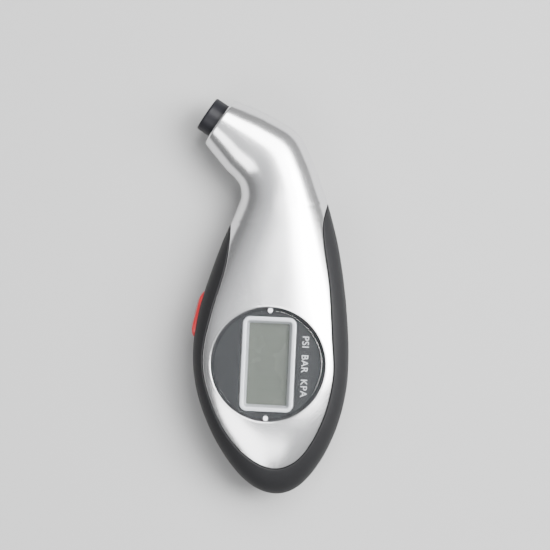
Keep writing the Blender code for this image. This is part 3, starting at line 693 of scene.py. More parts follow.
def ring(place, left, right, side, columns):
    """Points along one section, from left to right across, evenly spaced."""
    _, _, rise, depth, power = section(place)
    height = rise if side > 0 else depth
    seam = math.asin(((GAP / 2 + LIP) / height) ** (power / 2))
    start = max(math.acos(-np.sign(left) * abs(left) ** (power / 2)), seam)
    end = min(math.acos(-np.sign(right) * abs(right) ** (power / 2)), math.pi - seam)
    angle = np.linspace(start, end, CURVE_STEPS)
    across = -np.sign(np.cos(angle)) * np.abs(np.cos(angle)) ** (2 / power)
    points = skin(np.full(CURVE_STEPS, place), across, side)
    run = travelled(points)
    even = np.linspace(0.0, run[-1], columns)
    return np.column_stack([np.interp(even, run, points[:, axis]) for axis in range(3)])


dial_ring = ring(5.0, *spans(5.0), 1, 80)
print("over the dial, a front section is", round(float(travelled(dial_ring)[-1]), 1), "mm long")


# %% [markdown]
# At the tail the silver face ends in a point of its edge, where the sections get very short. The rings are
# crowded together there, and the lip looks further up the face to find which way is outwards.

# %% Shell skins
RINGS, COLUMNS = 190, 84
CROWDING, SEARCH_STEP = 1.5, 0.002
TAIL_RINGS, LOOK_AHEAD = 24, 10
SHELL_WALL = 1.3
END_ROLL, END_STEPS, MOUTH_DEPTH = 0.7, 6, 4.0
NOZZLE_AT = np.array([-19.45, 77.8, MID_Z])
NOZZLE_DEG = 148.3
TIP_RADIUS = 5.9


def shell_rings(side):
    """The rings of one shell, from the tail to the head."""
    inner_edge, _ = face_edge(EDGE_STEPS, -LIP)
    begin = TAIL_PLACE
    while len(crossings(begin, inner_edge)) < 2:
        begin += SEARCH_STEP
    head_length = np.linalg.norm(section(LAST_RIB)[0] - section(LAST_RIB - 1)[0])
    end = LAST_RIB - END_ROLL / head_length
    places = begin + (end - begin) * np.linspace(0.0, 1.0, RINGS) ** CROWDING
    return [ring(place, *spans(place, inner_edge), side, COLUMNS) for place in places]


def side_lip(made, rows):
    """The lip from the head down the left side, round the tail and up the right side."""
    tail_inner = rows[LOOK_AHEAD][COLUMNS // 2]

    def beside(row, column):
        return rows[row][column] if row > TAIL_RINGS else rows[row + LOOK_AHEAD][COLUMNS // 2]

    down, up = range(RINGS - 1, 0, -1), range(1, RINGS)
    edge = [rows[row][0] for row in down] + [rows[0][0]] + [rows[row][-1] for row in up]
    inner = [beside(row, 2) for row in down] + [tail_inner] + [beside(row, COLUMNS - 3) for row in up]
    made.lip(edge, inner, LIP, LIP_DEPTH)


def shell_skin(name, side):
    """One shell: its rings, its side lip, and the end face that turns in round the nozzle."""
    made = Skin()
    rows = made.grid(shell_rings(side))
    side_lip(made, rows)
    hole = TIP_RADIUS + GAP
    mouth = made.lip(rows[-1], rows[-2], END_ROLL, float(section(LAST_RIB)[2]) - hole, steps=END_STEPS)
    angle = math.radians(NOZZLE_DEG)
    inward = -MOUTH_DEPTH * np.array([math.cos(angle), math.sin(angle), 0.0])
    made.join([mouth, [made.build.verts.new((np.array(v.co) / MM + inward) * MM) for v in mouth]])
    return made.finish(name, SILVER, thickness=SHELL_WALL, slot="silver_paint")


front_skin = shell_skin("front_shell_skin", 1)
rear_skin = shell_skin("rear_shell_skin", -1)
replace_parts(front_skin, "front_shell")
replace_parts(rear_skin, "rear_shell")
print("front skin", len(front_skin.data.polygons), "faces; rear skin", len(rear_skin.data.polygons), "faces")


# %% [markdown]
# ## Cutting
#
# Holes are cut with a Boolean, and the result is baked into the mesh at once, so that no cutter stays in
# the scene. The cutters are simple closed forms, made in the place where they cut.

# %% Cutting tools
DRUM_STEPS = 128


def baked(piece):
    """Replace the piece's mesh by what its modifiers make of it."""
    bpy.context.view_layer.update()
    evaluated = piece.evaluated_get(bpy.context.evaluated_depsgraph_get())
    mesh = bpy.data.meshes.new_from_object(evaluated)
    piece.modifiers.clear()
    piece.data = mesh
    return piece


def cut(piece, *cutters):
    """Take the cutters out of the piece."""
    for cutter in cutters:
        boolean = piece.modifiers.new("cut", "BOOLEAN")
        boolean.operation = "DIFFERENCE"
        boolean.solver = "EXACT"
        boolean.object = cutter
    baked(piece)
    for cutter in cutters:
        bpy.data.objects.remove(cutter, do_unlink=True)
    piece.data.set_sharp_from_angle(angle=SMOOTH_TO)
    return piece


def tool(build):
    """A cutter from what has been built."""
    mesh = bpy.data.meshes.new("tool")
    build.to_mesh(mesh)
    build.free()
    made = bpy.data.objects.new("tool", mesh)
    bpy.context.scene.collection.objects.link(made)
    return made


def drum(at, radius, z, steps=DRUM_STEPS):
    """An upright cylinder that cuts a round hole from z[0] to z[1]."""
    build = bmesh.new()
    size = {"radius1": radius * MM, "radius2": radius * MM, "depth": (z[1] - z[0]) * MM}
    bmesh.ops.create_cone(build, cap_ends=True, segments=steps, **size)
    bmesh.ops.translate(build, vec=Vector((at[0], at[1], sum(z) / 2)) * MM, verts=build.verts)
    return tool(build)


def block(size, at=(0.0, 0.0, 0.0), turn=0.0):
    """A block that cuts a slot: its size, its middle, and its turn about Z in degrees."""
    build = bmesh.new()
    bmesh.ops.create_cube(build, size=1.0)
    bmesh.ops.scale(build, vec=Vector(size) * MM, verts=build.verts)
    spin = Matrix.Rotation(math.radians(turn), 3, "Z")
    bmesh.ops.rotate(build, matrix=spin, verts=build.verts)
    bmesh.ops.translate(build, vec=Vector(at) * MM, verts=build.verts)
    return tool(build)


print("a drum has", DRUM_STEPS, "sides unless it is told otherwise")


# %% [markdown]
# An arrow on the back shows which way the battery cap opens. It is sunk into the mould, not printed, so it
# is cut as well: a curved bar with a head that gets narrower towards its tip.

# %% The arrow's cutter
ARC_STEPS, HEAD_STEPS = 31, 7
HEAD_LENGTH, HEAD_TIP = 2.2, 0.04


def arrow(middle, radius, start, end, z, width=0.5, head=1.0):
    """A cutter in the shape of an arc with an arrow head at its end. The angles are in degrees."""
    angles = np.radians(np.linspace(start, end, ARC_STEPS))
    head_turn = math.copysign(HEAD_LENGTH * head / radius, end - start)
    angles = np.concatenate([angles, angles[-1] + head_turn * np.linspace(0.0, 1.0, HEAD_STEPS)])
    widths = np.concatenate([np.full(ARC_STEPS, width), 2 * head * np.linspace(1.0, HEAD_TIP, HEAD_STEPS)])
    build = bmesh.new()
    rows = []
    for side, height in ((-1, z[0]), (1, z[0]), (1, z[1]), (-1, z[1])):
        reach = radius + side * widths / 2
        points = zip(middle[0] + reach * np.cos(angles), middle[1] + reach * np.sin(angles))
        rows.append([build.verts.new(Vector((x, y, height)) * MM) for x, y in points])
    for lower, upper in zip(rows, rows[1:] + rows[:1]):
        for step in range(len(lower) - 1):
            build.faces.new((lower[step], lower[step + 1], upper[step + 1], upper[step]))
    for end_step in (0, -1):
        build.faces.new([row[end_step] for row in rows])
    bmesh.ops.recalc_face_normals(build, faces=build.faces)
    return tool(build)


ARROW = {"radius": 15.6, "start": 118.0, "end": 64.0}
print("the arrow turns through", ARROW["start"] - ARROW["end"], "degrees")


# %% [markdown]
# The front is opened for the dial. The back gets a round hole for the battery cap, two notches for its
# lugs, three screw wells and the arrow. The notches stand where the lugs end when the cap is turned free.

# %% Holes in the shells
SEAT_RADIUS = 18.4
CELL_AT = (1.5, 14.0)
CAP_RADIUS, LUG_RADIUS, LUG_WIDTH, CAP_TURN = 12.0, 13.6, 5.0, 40.0
SCREWS = {
    "case_screw_tail": (4.4, -27.6),
    "case_screw_neck_left": (-8.4, 36.8),
    "case_screw_neck_right": (11.0, 36.8),
}
WELL_RADIUS, WELL_WALL, SEAT_DEPTH = 2.5, 1.0, 6.0
BELOW = -1.0
NOTCH = (2 * (LUG_RADIUS + GAP), LUG_WIDTH + 2 * GAP, 6.0)

cut(front_skin, drum((0, 0), SEAT_RADIUS + GAP, (18, 40), 192))
back_cuts = [drum(CELL_AT, CAP_RADIUS + GAP, (BELOW, 4), 160), block(NOTCH, (*CELL_AT, 1.0), -CAP_TURN)]
back_cuts += [drum(at, WELL_RADIUS, (BELOW, 5), 64) for at in SCREWS.values()]
back_cuts.append(arrow(CELL_AT, z=(BELOW, 0.35), **ARROW))
cut(rear_skin, *back_cuts)
print("faces after the cuts:", len(front_skin.data.polygons), "front,", len(rear_skin.data.polygons), "rear")


# %% [markdown]
# ## Turned pieces
#
# The dial's lens, the nozzle, the seal, the battery cap and the screws are round. Each is a profile that is
# spun round an axis. `rounded_corners` puts a small curve at each corner of the profile, because light on a
# round edge is what tells the eye that a piece was moulded or turned.

# %% Lathe
SPUN_SMOOTH_TO = math.radians(50)
CORNER_SHARE = 0.45


def rounded_corners(points, radius, steps=4):
    """The profile with each inner corner replaced by a small curve of about that radius."""
    made = [points[0]]
    for before, corner, after in zip(points, points[1:], points[2:]):
        corner = Vector(corner)
        to_before, to_after = Vector(before) - corner, Vector(after) - corner
        reach = min(radius, to_before.length * CORNER_SHARE, to_after.length * CORNER_SHARE)
        start, end = corner + to_before.normalized() * reach, corner + to_after.normalized() * reach
        for step in range(steps + 1):
            t = step / steps
            made.append(tuple((1 - t) ** 2 * start + 2 * t * (1 - t) * corner + t**2 * end))
    made.append(points[-1])
    return made


def upright(at=(0.0, 0.0, 0.0)):
    """The placing of a piece whose own Z axis stands up."""
    return Matrix.Translation(Vector(at) * MM)


def level(at, degrees):
    """The placing of a piece whose own Z axis lies level, turned by some degrees from +X."""
    turn = Matrix.Rotation(math.radians(degrees), 4, "Z") @ Matrix.Rotation(math.pi / 2, 4, "Y")
    return Matrix.Translation(Vector(at) * MM) @ turn


def circle(build, radius, height, steps):
    """A row of vertices round the Z axis, or one vertex on it, named as often as the row is long."""
    if radius == 0:
        return [build.verts.new((0.0, 0.0, height * MM))] * steps
    angles = [2 * math.pi * step / steps for step in range(steps)]
    points = [Vector((radius * math.cos(angle), radius * math.sin(angle), height)) for angle in angles]
    return [build.verts.new(point * MM) for point in points]


def spun(name, profile, finish, at=None, steps=128, **words):
    """A piece turned about its own Z axis from a profile of (radius, height)."""
    build = bmesh.new()
    rows = [circle(build, radius, height, steps) for radius, height in profile]
    for lower, upper in zip(rows, rows[1:]):
        for step in range(steps):
            after = (step + 1) % steps
            corners = list(dict.fromkeys((lower[step], lower[after], upper[after], upper[step])))
            if len(corners) > 2:
                build.faces.new(corners)
    bmesh.ops.recalc_face_normals(build, faces=build.faces)
    bmesh.ops.transform(build, matrix=at or upright(), verts=build.verts)
    mesh = bpy.data.meshes.new(name)
    build.to_mesh(mesh)
    build.free()
    mesh.shade_smooth()
    mesh.set_sharp_from_angle(angle=SPUN_SMOOTH_TO)
    return scene_object(name, mesh, finish, **words)


STEP_PROFILE = ((1.0, 0.0), (1.0, 1.0), (0.0, 1.0))
print(len(STEP_PROFILE), "points become", len(rounded_corners(STEP_PROFILE, 0.3)), "with a round corner")


# %% [markdown]
# ## The dial
#
# The lens is clear plastic in a round well. Between its bevelled rim and the shell is a gap, and the
# shell's own edge is rolled, so the dial has three rings round it: bright, dark, bright. The well under the
# gap is bare dark plastic, and its darkness is also painted shade for the dark ring. The rolled edge follows
# the curved surface, so it is a bead swept round the well at the height of the surface.

# %% Bead and well
BEAD_STEPS = 12


def swept(name, path, radius, finish, **words):
    """A closed round bead along a loop of points, in millimetres."""
    along = unit(np.roll(path, -1, axis=0) - np.roll(path, 1, axis=0))
    up = np.tile([0.0, 0.0, 1.0], (len(path), 1))
    beside = unit(np.cross(along, up))
    up = np.cross(beside, along)
    build = Skin()
    angle = np.linspace(0, 2 * math.pi, BEAD_STEPS, endpoint=False)
    loops = [path + radius * (math.cos(a) * beside + math.sin(a) * up) for a in angle]
    loops.append(loops[0])
    build.grid([np.concatenate([loop, loop[:1]]) for loop in loops])
    return build.finish(name, finish, **words)


round_turn = np.linspace(0, 2 * math.pi, 240, endpoint=False)
CIRCLE = np.column_stack([np.cos(round_turn), np.sin(round_turn)])
RIM_BEAD, BEAD_SUNK = 0.42, 0.9
rim_path, _ = lift_to_surface((SEAT_RADIUS + RIM_BEAD) * CIRCLE, 1)
rim_path[:, 2] -= RIM_BEAD * BEAD_SUNK
swept("dial_rim", rim_path, RIM_BEAD, SILVER, slot="silver_paint")
print("rim height", np.round([rim_path[:, 2].min(), rim_path[:, 2].max()], 2))

SEAT_Z, LEDGE_RADIUS = 22.4, 16.5
well_profile = [
    (SEAT_RADIUS + 1.2, 24.3), (SEAT_RADIUS, 24.6), (SEAT_RADIUS, SEAT_Z), (LEDGE_RADIUS, SEAT_Z),
    (LEDGE_RADIUS, 20.9),
]
# The well is bare dark plastic where the silver spray does not reach, and that darkness also serves as
# painted shade in the gap round the lens.
spun("dial_well_bare_and_shade", well_profile, DARK_PLASTIC, steps=160, slot="silver_paint")


# %% [markdown]
# The lens does not bend light much at this thickness, so it is a mix of a plain see-through shader and a
# mirror-like one. The share of the mirror grows with the fifth power of the slant, like the gloss of real
# plastic. A Fresnel node would do that too, but from inside the lens it turns slanting rays back
# altogether, and the dial would vanish in low views.

# %% Clear plastic
HEAD_ON, GLANCING, HAZE = 0.035, 0.8, 0.008


def clear_plastic(name, roughness=0.03):
    made = Finish(name, (1.0, 1.0, 1.0), roughness)
    clear = made.node("ShaderNodeBsdfTransparent", inputs={"Color": (0.93, 0.94, 0.94, 1.0)})
    gloss = made.node("ShaderNodeBsdfGlossy", inputs={"Roughness": roughness})
    slant = made.node("ShaderNodeLayerWeight", inputs={"Blend": 0.5})["Facing"]
    share = HEAD_ON + slant**5 * GLANCING + made.noise(4.0, 4.0, 0.6) * HAZE
    mix = made.node("ShaderNodeMixShader", inputs={0: share, 1: clear["BSDF"], 2: gloss["BSDF"]})
    made.tree.links.new(mix["Shader"].socket, made.tree.nodes["Material Output"].inputs["Surface"])
    return made


CLEAR = told(clear_plastic("clear_lens"))


# %% [markdown]
# The top of the lens is a very shallow dome, just enough to gather a soft highlight. Round it runs a bevel
# down to a short upright edge. One ring of points close beside the dome's edge keeps the bevel's shading
# off it.

# %% Lens
LENS_RADIUS, LENS_BOTTOM, LENS_TOP = 18.05, 23.5, 25.1
DOME_RADIUS, DOME_RISE = 17.3, 0.22
dome = [*np.linspace(0.0, DOME_RADIUS - 0.1, 9), DOME_RADIUS]
lens_profile = [(radius, LENS_TOP - DOME_RISE * (radius / DOME_RADIUS) ** 2) for radius in dome]
lens_profile += [
    (DOME_RADIUS + 0.08, 24.86), (LENS_RADIUS - 0.16, 24.48), (LENS_RADIUS, 24.3), (LENS_RADIUS, 24.1),
    (LENS_RADIUS, LENS_BOTTOM), (0, LENS_BOTTOM),
]
lens = spun("dial_lens_fine", lens_profile, CLEAR, steps=192, slot="clear_window")
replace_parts(lens, "dial_lens")
print("the lens is", round(LENS_TOP - LENS_BOTTOM, 2), "mm thick in the middle")


# %% [markdown]
# Behind the lens is a dark printed plate. Print is dull and very even, so its finish has only a slow cloud
# and a faint speck.

# %% Printed plate
def dial_print():
    made = Finish("dial_print_grey", (0.016, 0.016, 0.018), 0.35, Specular_IOR_Level=0.22)
    speck = made.noise(0.8, 3.0, 0.6)
    cloud = made.noise(11.0, 3.0)
    dark, light = shade(0.011, (1.0, 1.0, 1.15)), shade(0.019, (1.0, 1.0, 1.12))
    made.set(
        Base_Color=made.blend(speck * 0.25 + cloud * 0.35, dark, light),
        Roughness=0.28 + cloud * 0.08,
    )
    return made.bump(cloud, 0.01, 0.2)


def use(node, finish):
    """Give a CAD node that keeps its shape a finish."""
    slots = NODE[node].data.materials
    slots.clear()
    slots.append(finish.material)


use("dial_face", told(dial_print()))


# %% [markdown]
# The plate has one line of lettering, the three units that such a gauge can show. It reads towards the
# tail. It is a text object, turned into a mesh as thin as ink, just clear of the plate.

# %% Lettering
WHITE_INK = told(moulded("white_ink", (0.5, 0.5, 0.52), 0.45, 0.1, 0.002))
LETTER_HEIGHT, INK_DEPTH, LETTER_SPACE = 3.05, 0.02, 1.08
LINE_MIDDLE = (11.7, -0.2, 23.24)
text = bpy.data.curves.new("unit_words", "FONT")
text.body = "PSI  BAR  KPA"
text.size = LETTER_HEIGHT * MM
text.extrude = INK_DEPTH * MM
text.space_character = LETTER_SPACE
text.align_x = "CENTER"
text.align_y = "CENTER"
guide = bpy.data.objects.new("unit_words_guide", text)
bpy.context.scene.collection.objects.link(guide)
guide.rotation_euler = (0.0, 0.0, -math.pi / 2)
guide.location = Vector(LINE_MIDDLE) * MM
bpy.context.view_layer.update()
ink_mesh = bpy.data.meshes.new_from_object(guide.evaluated_get(bpy.context.evaluated_depsgraph_get()))
ink_mesh.transform(guide.matrix_world)
bpy.data.objects.remove(guide, do_unlink=True)
scene_object("unit_lettering", ink_mesh, WHITE_INK, slot="bezel_silver")
for axis in "xy":
    ends = [getattr(vertex.co, axis) / MM for vertex in ink_mesh.vertices]
    print("lettering is within", axis, round(min(ends), 1), "to", round(max(ends), 1))


# %% [markdown]
# A light frame stands in the plate, round the display, and slopes down to the glass like a picture mount.
# It is a section swept round a rectangle with round corners, so each corner gets tighter towards the
# inside, as in a real mould.

# %% Display frame
LEAST_CORNER = 0.35


def rounded_loop(width, height, corner, steps=8):
    """A rectangle with round corners, as points round its middle."""
    points = []
    for quarter, (across, up) in enumerate(((1, 1), (-1, 1), (-1, -1), (1, -1))):
        middle = np.array([across * (width / 2 - corner), up * (height / 2 - corner)])
        for step in range(steps + 1):
            angle = math.pi / 2 * (quarter + step / steps)
            points.append(middle + corner * np.array([math.cos(angle), math.sin(angle)]))
    return np.array(points)


def framed(name, width, height, corner, profile, finish, **words):
    """A frame from a profile of (distance in from the outer edge, height), swept round a rectangle."""
    build = Skin()
    loops = []
    for inset, z in profile:
        loop = rounded_loop(width - 2 * inset, height - 2 * inset, max(corner - inset, LEAST_CORNER))
        loops.append(np.column_stack([loop, np.full(len(loop), z)]))
    build.grid([np.concatenate([loop, loop[:1]]) for loop in loops])
    return build.finish(name, finish, **words)


FRAME_X, FRAME_Y, FRAME_CORNER = 17.3, 30.6, 2.4
bezel_profile = rounded_corners([
    (0.0, 22.7), (0.0, 23.35), (0.3, 23.45), (1.2, 23.45), (1.45, 23.2), (2.15, 20.9), (2.15, 20.6),
    (0.6, 20.6), (0.0, 22.7),
], 0.2)
frame_size = (FRAME_X, FRAME_Y, FRAME_CORNER)
display_bezel = framed("display_bezel", *frame_size, bezel_profile, BEZEL, slot="bezel_silver")
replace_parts(display_bezel, "display_frame")
print("the frame is", FRAME_X, "by", FRAME_Y, "mm, with", len(display_bezel.data.polygons), "faces")


# %% [markdown]
# The display is off: grey-green glass over a diffuser. One can just make out the segments of its three
# digits, a shade darker than the ground, so two tones of the same finish are made.

# %% Display glass
def display_glass(name, dark, light):
    made = Finish(name, dark, 0.3, Specular_IOR_Level=0.4, Coat_Roughness=0.08)
    cloud = made.noise(16.0, 3.0, 0.5)
    film = made.noise(3.0, 2.0)
    made.set(
        Base_Color=made.blend(cloud * 0.75 + film * 0.15, (*dark, 1.0), (*light, 1.0)),
        Roughness=0.24 + cloud * 0.08,
        Coat_Weight=0.2 + film * 0.05,
    )
    return made.bump(film, 0.006, 0.2)


use("lcd_glass", told(display_glass("display_glass", (0.062, 0.07, 0.058), (0.076, 0.08, 0.067))))
SEGMENT_GREY = told(display_glass("segment_grey", (0.056, 0.064, 0.053), (0.068, 0.073, 0.061)))


# %% [markdown]
# The segments are flat six-sided pieces on the glass. One stroke is drawn in the reading direction, and a
# loop makes the seven strokes of each digit from it.

# %% Resting segments
DIGIT_WIDTH, DIGIT_HEIGHT, SEGMENT_WIDTH, SEGMENT_SPACE = 4.2, 7.8, 0.85, 0.1
DIGIT_PITCH, DIGIT_LEAN, DIGIT_LIFT, SEGMENT_Z = 6.4, 0.09, 0.3, 20.315


def digit_strokes():
    """The seven strokes of an 8, as start and end in the reading direction and upwards."""
    side, top = DIGIT_WIDTH / 2, DIGIT_HEIGHT / 2
    level_strokes = [((-side, up), (side, up)) for up in (-top, 0.0, top)]
    return level_strokes + [((over, low), (over, low + top)) for over in (-side, side) for low in (-top, 0.0)]


def segments(name, middles, finish):
    """Resting digits. They read towards -Y, with their tops towards +X."""
    build = bmesh.new()
    for middle in middles:
        for start, end in digit_strokes():
            start, end = Vector(start), Vector(end)
            along = (end - start).normalized()
            beside = Vector((-along.y, along.x)) * SEGMENT_WIDTH / 2
            start, end = start + along * SEGMENT_SPACE, end - along * SEGMENT_SPACE
            bevel = along * SEGMENT_WIDTH / 2
            first, last = start + bevel, end - bevel
            corners = (start, first + beside, last + beside, end, last - beside, first - beside)
            points = [(c.y + DIGIT_LIFT, -(middle + c.x + DIGIT_LEAN * c.y), SEGMENT_Z) for c in corners]
            build.faces.new([build.verts.new(Vector(point) * MM) for point in points])
    mesh = bpy.data.meshes.new(name)
    build.to_mesh(mesh)
    build.free()
    return scene_object(name, mesh, finish, slot="lcd")


resting = segments("display_segments", (-DIGIT_PITCH, 0.0, DIGIT_PITCH), SEGMENT_GREY)
print(len(resting.data.polygons), "segments")


# %% [markdown]
# ## The back
#
# The coin cell sits behind a round cap with two lugs. A coin turns it until the lugs stand at two notches,
# and then it lifts out. The cap is spun from a profile with a shallow groove, for the finger to find, and
# the coin's slot is cut. It rides on its own body, because it turns.

# %% Battery cap
SLOT_LENGTH, SLOT_WIDTH, SLOT_DEPTH = 15.0, 1.8, 1.1
CAP_LOW, CAP_HIGH, CAP_FLOOR, CAP_WALL = 0.3, 3.7, 2.1, 10.6
GROOVE = CAP_LOW + 0.35
cap_profile = [
    (0, CAP_LOW), (9.1, CAP_LOW), (9.4, GROOVE), (9.9, GROOVE), (10.2, CAP_LOW), (CAP_RADIUS, CAP_LOW),
    (CAP_RADIUS, CAP_HIGH), (CAP_WALL, CAP_HIGH), (CAP_WALL, CAP_FLOOR), (0, CAP_FLOOR),
]
cap = spun(
    "battery_cap_fine", rounded_corners(cap_profile, 0.28), SILVER, upright((*CELL_AT, 0)), 160,
    body="cap", slot="silver_paint",
)
cut(cap, block((SLOT_LENGTH, SLOT_WIDTH, 2 * SLOT_DEPTH), (*CELL_AT, CAP_LOW)))
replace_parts(cap, "battery_cap")
print("cap at z", CAP_LOW, "to", CAP_HIGH, "mm, turning about", CELL_AT)


# %% [markdown]
# Each lug is a short arc of flange beside the cap's rim. Its section is carried along the arc, and its two
# ends are closed.

# %% Bayonet lugs
LUG_STEPS, LUG_INNER, LUG_LOW, LUG_HIGH = 13, 11.8, 2.4, 3.6


def lug(name, side):
    """One lug, on the right (1) or on the left (-1) of the cap."""
    half = math.asin(LUG_WIDTH / 2 / LUG_RADIUS)
    corners = [(LUG_INNER, LUG_LOW), (LUG_RADIUS, LUG_LOW), (LUG_RADIUS, LUG_HIGH), (LUG_INNER, LUG_HIGH)]
    profile = rounded_corners(corners, 0.2)
    middle = np.array([*CELL_AT, 0.0])
    rows = []
    for angle in np.linspace(-half, half, LUG_STEPS) + (0.0 if side > 0 else math.pi):
        out = np.array([math.cos(angle), math.sin(angle), 0.0])
        rows.append([middle + radius * out + (0, 0, z) for radius, z in profile])
    made = Skin()
    vertices = made.grid(np.array(rows))
    made.build.faces.new(vertices[0])
    made.build.faces.new(vertices[-1])
    return made.finish(name, SILVER, body="cap", slot="silver_paint")


lug("cap_lug_right", 1)
lug("cap_lug_left", -1)
print("each lug stands", round(LUG_RADIUS - CAP_RADIUS, 2), "mm out of the rim")


# %% [markdown]
# ## Case screws
#
# Three screws pull the shells together. Each stands in a round well, and has a slightly domed head with a
# cross recess that is pressed in, here cut by two blocks. The crosses stand at different angles, as they do
# after any assembly. The well's mouth starts just inside the curved surface, at its highest point round it.

# %% Screws and their wells
HEAD_LOW, HEAD_HIGH, HEAD_RADIUS, SHANK_RADIUS, SHANK_TOP = 4.0, 5.7, 2.2, 1.1, 18.0
POINT_RADIUS, POINT_LENGTH = 0.3, 1.2
SEAT_BACK, MOUTH_INSET, MOUTH_SLOPE = 7.0, 0.1, 1.2
RECESS, FIRST_ANGLE, ANGLE_STEP = (2.6, 0.55, 1.6), 25.0, 40.0
SCREW_STEPS = 64
HEAD_PROFILE = [
    (0, HEAD_LOW), (HEAD_RADIUS * 0.6, HEAD_LOW + 0.08), (HEAD_RADIUS, HEAD_LOW + 0.55),
    (HEAD_RADIUS, HEAD_HIGH), (SHANK_RADIUS, HEAD_HIGH), (SHANK_RADIUS, SHANK_TOP - POINT_LENGTH),
    (POINT_RADIUS, SHANK_TOP), (0, SHANK_TOP),
]


def screw_well(name, at):
    """The round well in which a screw stands, with its seat."""
    mouth = float(lift_to_surface(np.array(at) + WELL_RADIUS * CIRCLE, -1)[0][:, 2].max()) + MOUTH_INSET
    bore, wall = SHANK_RADIUS + GAP, WELL_RADIUS + WELL_WALL
    profile = [
        (WELL_RADIUS, mouth), (WELL_RADIUS, SEAT_DEPTH), (bore, SEAT_DEPTH), (bore, SEAT_BACK),
        (wall, SEAT_BACK), (wall, mouth + MOUTH_SLOPE), (WELL_RADIUS, mouth),
    ]
    place = upright((*at, 0))
    return spun(name, rounded_corners(profile, 0.15), SILVER, place, SCREW_STEPS, slot="silver_paint")


def case_screw(name, at, angle):
    """A screw with a cross recess, turned by some degrees."""
    made = spun(name, rounded_corners(HEAD_PROFILE, 0.2), STEEL, upright((*at, 0)), SCREW_STEPS, slot="steel")
    return cut(made, *(block(RECESS, (*at, HEAD_LOW), angle + quarter) for quarter in (0.0, 90.0)))


for number, (name, at) in enumerate(SCREWS.items()):
    screw_well(name + "_well", at)
    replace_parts(case_screw(name + "_fine", at, FIRST_ANGLE + ANGLE_STEP * number), name)
print(len(SCREWS), "case screws")


# %% [markdown]
# ## Everything inside
#
# The inner pieces keep the shapes of the solids, and each gets the finish of what it is made of. The board
# is green lacquer over copper tracks. Cells whose borders are drawn out give lines that branch like tracks,
# and relief lifts them a little, as lacquer over copper does.

# %% Circuit board lacquer
TRACK_SPACE = 2.4


def circuit_lacquer():
    made = Finish("board_lacquer", (0.012, 0.09, 0.035), 0.35, Specular_IOR_Level=0.5, Coat_Roughness=0.1)
    tracks = made.node(
        "ShaderNodeTexVoronoi", {"feature": "DISTANCE_TO_EDGE"},
        {"Vector": made.place(), "Scale": 1 / (TRACK_SPACE * MM)},
    )["Distance"]
    track = made.ramp(tracks, (0.05, 1.0), (0.11, 0.0))
    cloud = made.noise(7.0, 3.0)
    board = made.blend(cloud * 0.6, (0.01, 0.08, 0.03, 1.0), (0.016, 0.11, 0.045, 1.0))
    made.set(
        Base_Color=made.blend(track * 0.7, board, (0.03, 0.19, 0.06, 1.0)),
        Roughness=0.3 + cloud * 0.1,
        Coat_Weight=0.3 + cloud * 0.1,
    )
    return made.bump(track, 0.03, 0.6)


use("circuit_board", told(circuit_lacquer()))


# %% [markdown]
# The two strips that join the display to the board are layers of conducting and plain rubber, so thin that
# one always touches its contact. A wave gives the stripes, and a ramp makes them hard.

# %% Striped rubber
STRIPE_SPACE = 1.2


def striped_rubber():
    made = Finish("striped_rubber", (0.06, 0.06, 0.07), 0.6)
    stripes = made.node(
        "ShaderNodeTexWave", {"wave_type": "BANDS", "bands_direction": "X", "wave_profile": "SIN"},
        {"Vector": made.place(), "Scale": 1 / (STRIPE_SPACE * MM), "Distortion": 0.0},
    )["Fac"]
    band = made.ramp(stripes, (0.45, 0.0), (0.55, 1.0))
    made.set(
        Base_Color=made.blend(band, (0.012, 0.012, 0.014, 1.0), (0.34, 0.33, 0.36, 1.0)),
        Roughness=0.55 + band * 0.1,
    )
    return made.bump(stripes, 0.01, 0.3)


STRIPED = told(striped_rubber())


# %% [markdown]
# The rest are plastics and metals that the finishes above already make, in their own colours. The light
# guide and the hose let a little light through.

# %% Finishes of the inner pieces
PIP_WHITE = moulded("pip_white", (0.62, 0.62, 0.64), 0.3, 0.2, 0.004)
SNOW = moulded("holder_white", (0.7, 0.7, 0.69), 0.45)
DIFFUSER = moulded("light_guide", (0.82, 0.83, 0.8), 0.25, 0.15, 0.006, Transmission_Weight=0.15)
LAMP = moulded("lamp_yellow", (0.72, 0.66, 0.3), 0.2, 0.2, 0.004)
SILICONE = moulded("milky_silicone", (0.62, 0.63, 0.62), 0.38, 0.5, 0.02, Transmission_Weight=0.2)
CAN = metal("sensor_can", (0.55, 0.56, 0.58), 0.35)
SPRING = metal("spring_plate", (0.7, 0.66, 0.55), 0.25, (1.0, 0.1, 1.0))
CELL = metal("cell_steel", (0.66, 0.66, 0.68), 0.22, (0.15, 1.0, 1.0))
INNER = {
    "lens_pin_head": PIP_WHITE, "lens_pin_tail": PIP_WHITE, "lcd_holder": SNOW, "backlight_panel": DIFFUSER,
    "backlight_led": LAMP, "zebra_strip_head": STRIPED, "zebra_strip_tail": STRIPED,
    "controller_chip": DARK_PLASTIC, "clock_crystal": CAN, "pressure_sensor": DARK_PLASTIC,
    "board_screw_head": STEEL, "board_screw_tail": STEEL, "switch_body": DARK_PLASTIC,
    "switch_plunger": STEEL, "manifold": BRASS, "sensor_hose": SILICONE,
    "hose_clamp_manifold": STEEL, "hose_clamp_sensor": STEEL,
    "cell_holder": DARK_PLASTIC, "battery_cell": CELL, "contact_negative": SPRING, "contact_positive": SPRING,
}
for name, finish in INNER.items():
    use(name, finish)
print(len(INNER), "inner pieces finished")


# %% [markdown]
# ## The grip
#
# The grip is a horseshoe: from a point at one side of the neck, along the side, round the tail and up the
# other side. Its skin is a row of sections across the band. Each starts at the silver edge on the front,
# runs out over the side and comes back under the gauge. How far it runs out has no formula, so that is
# found by halving too.

# %% How far the band reaches
WIDEST_REACH, PROBE = 16.0, 0.02


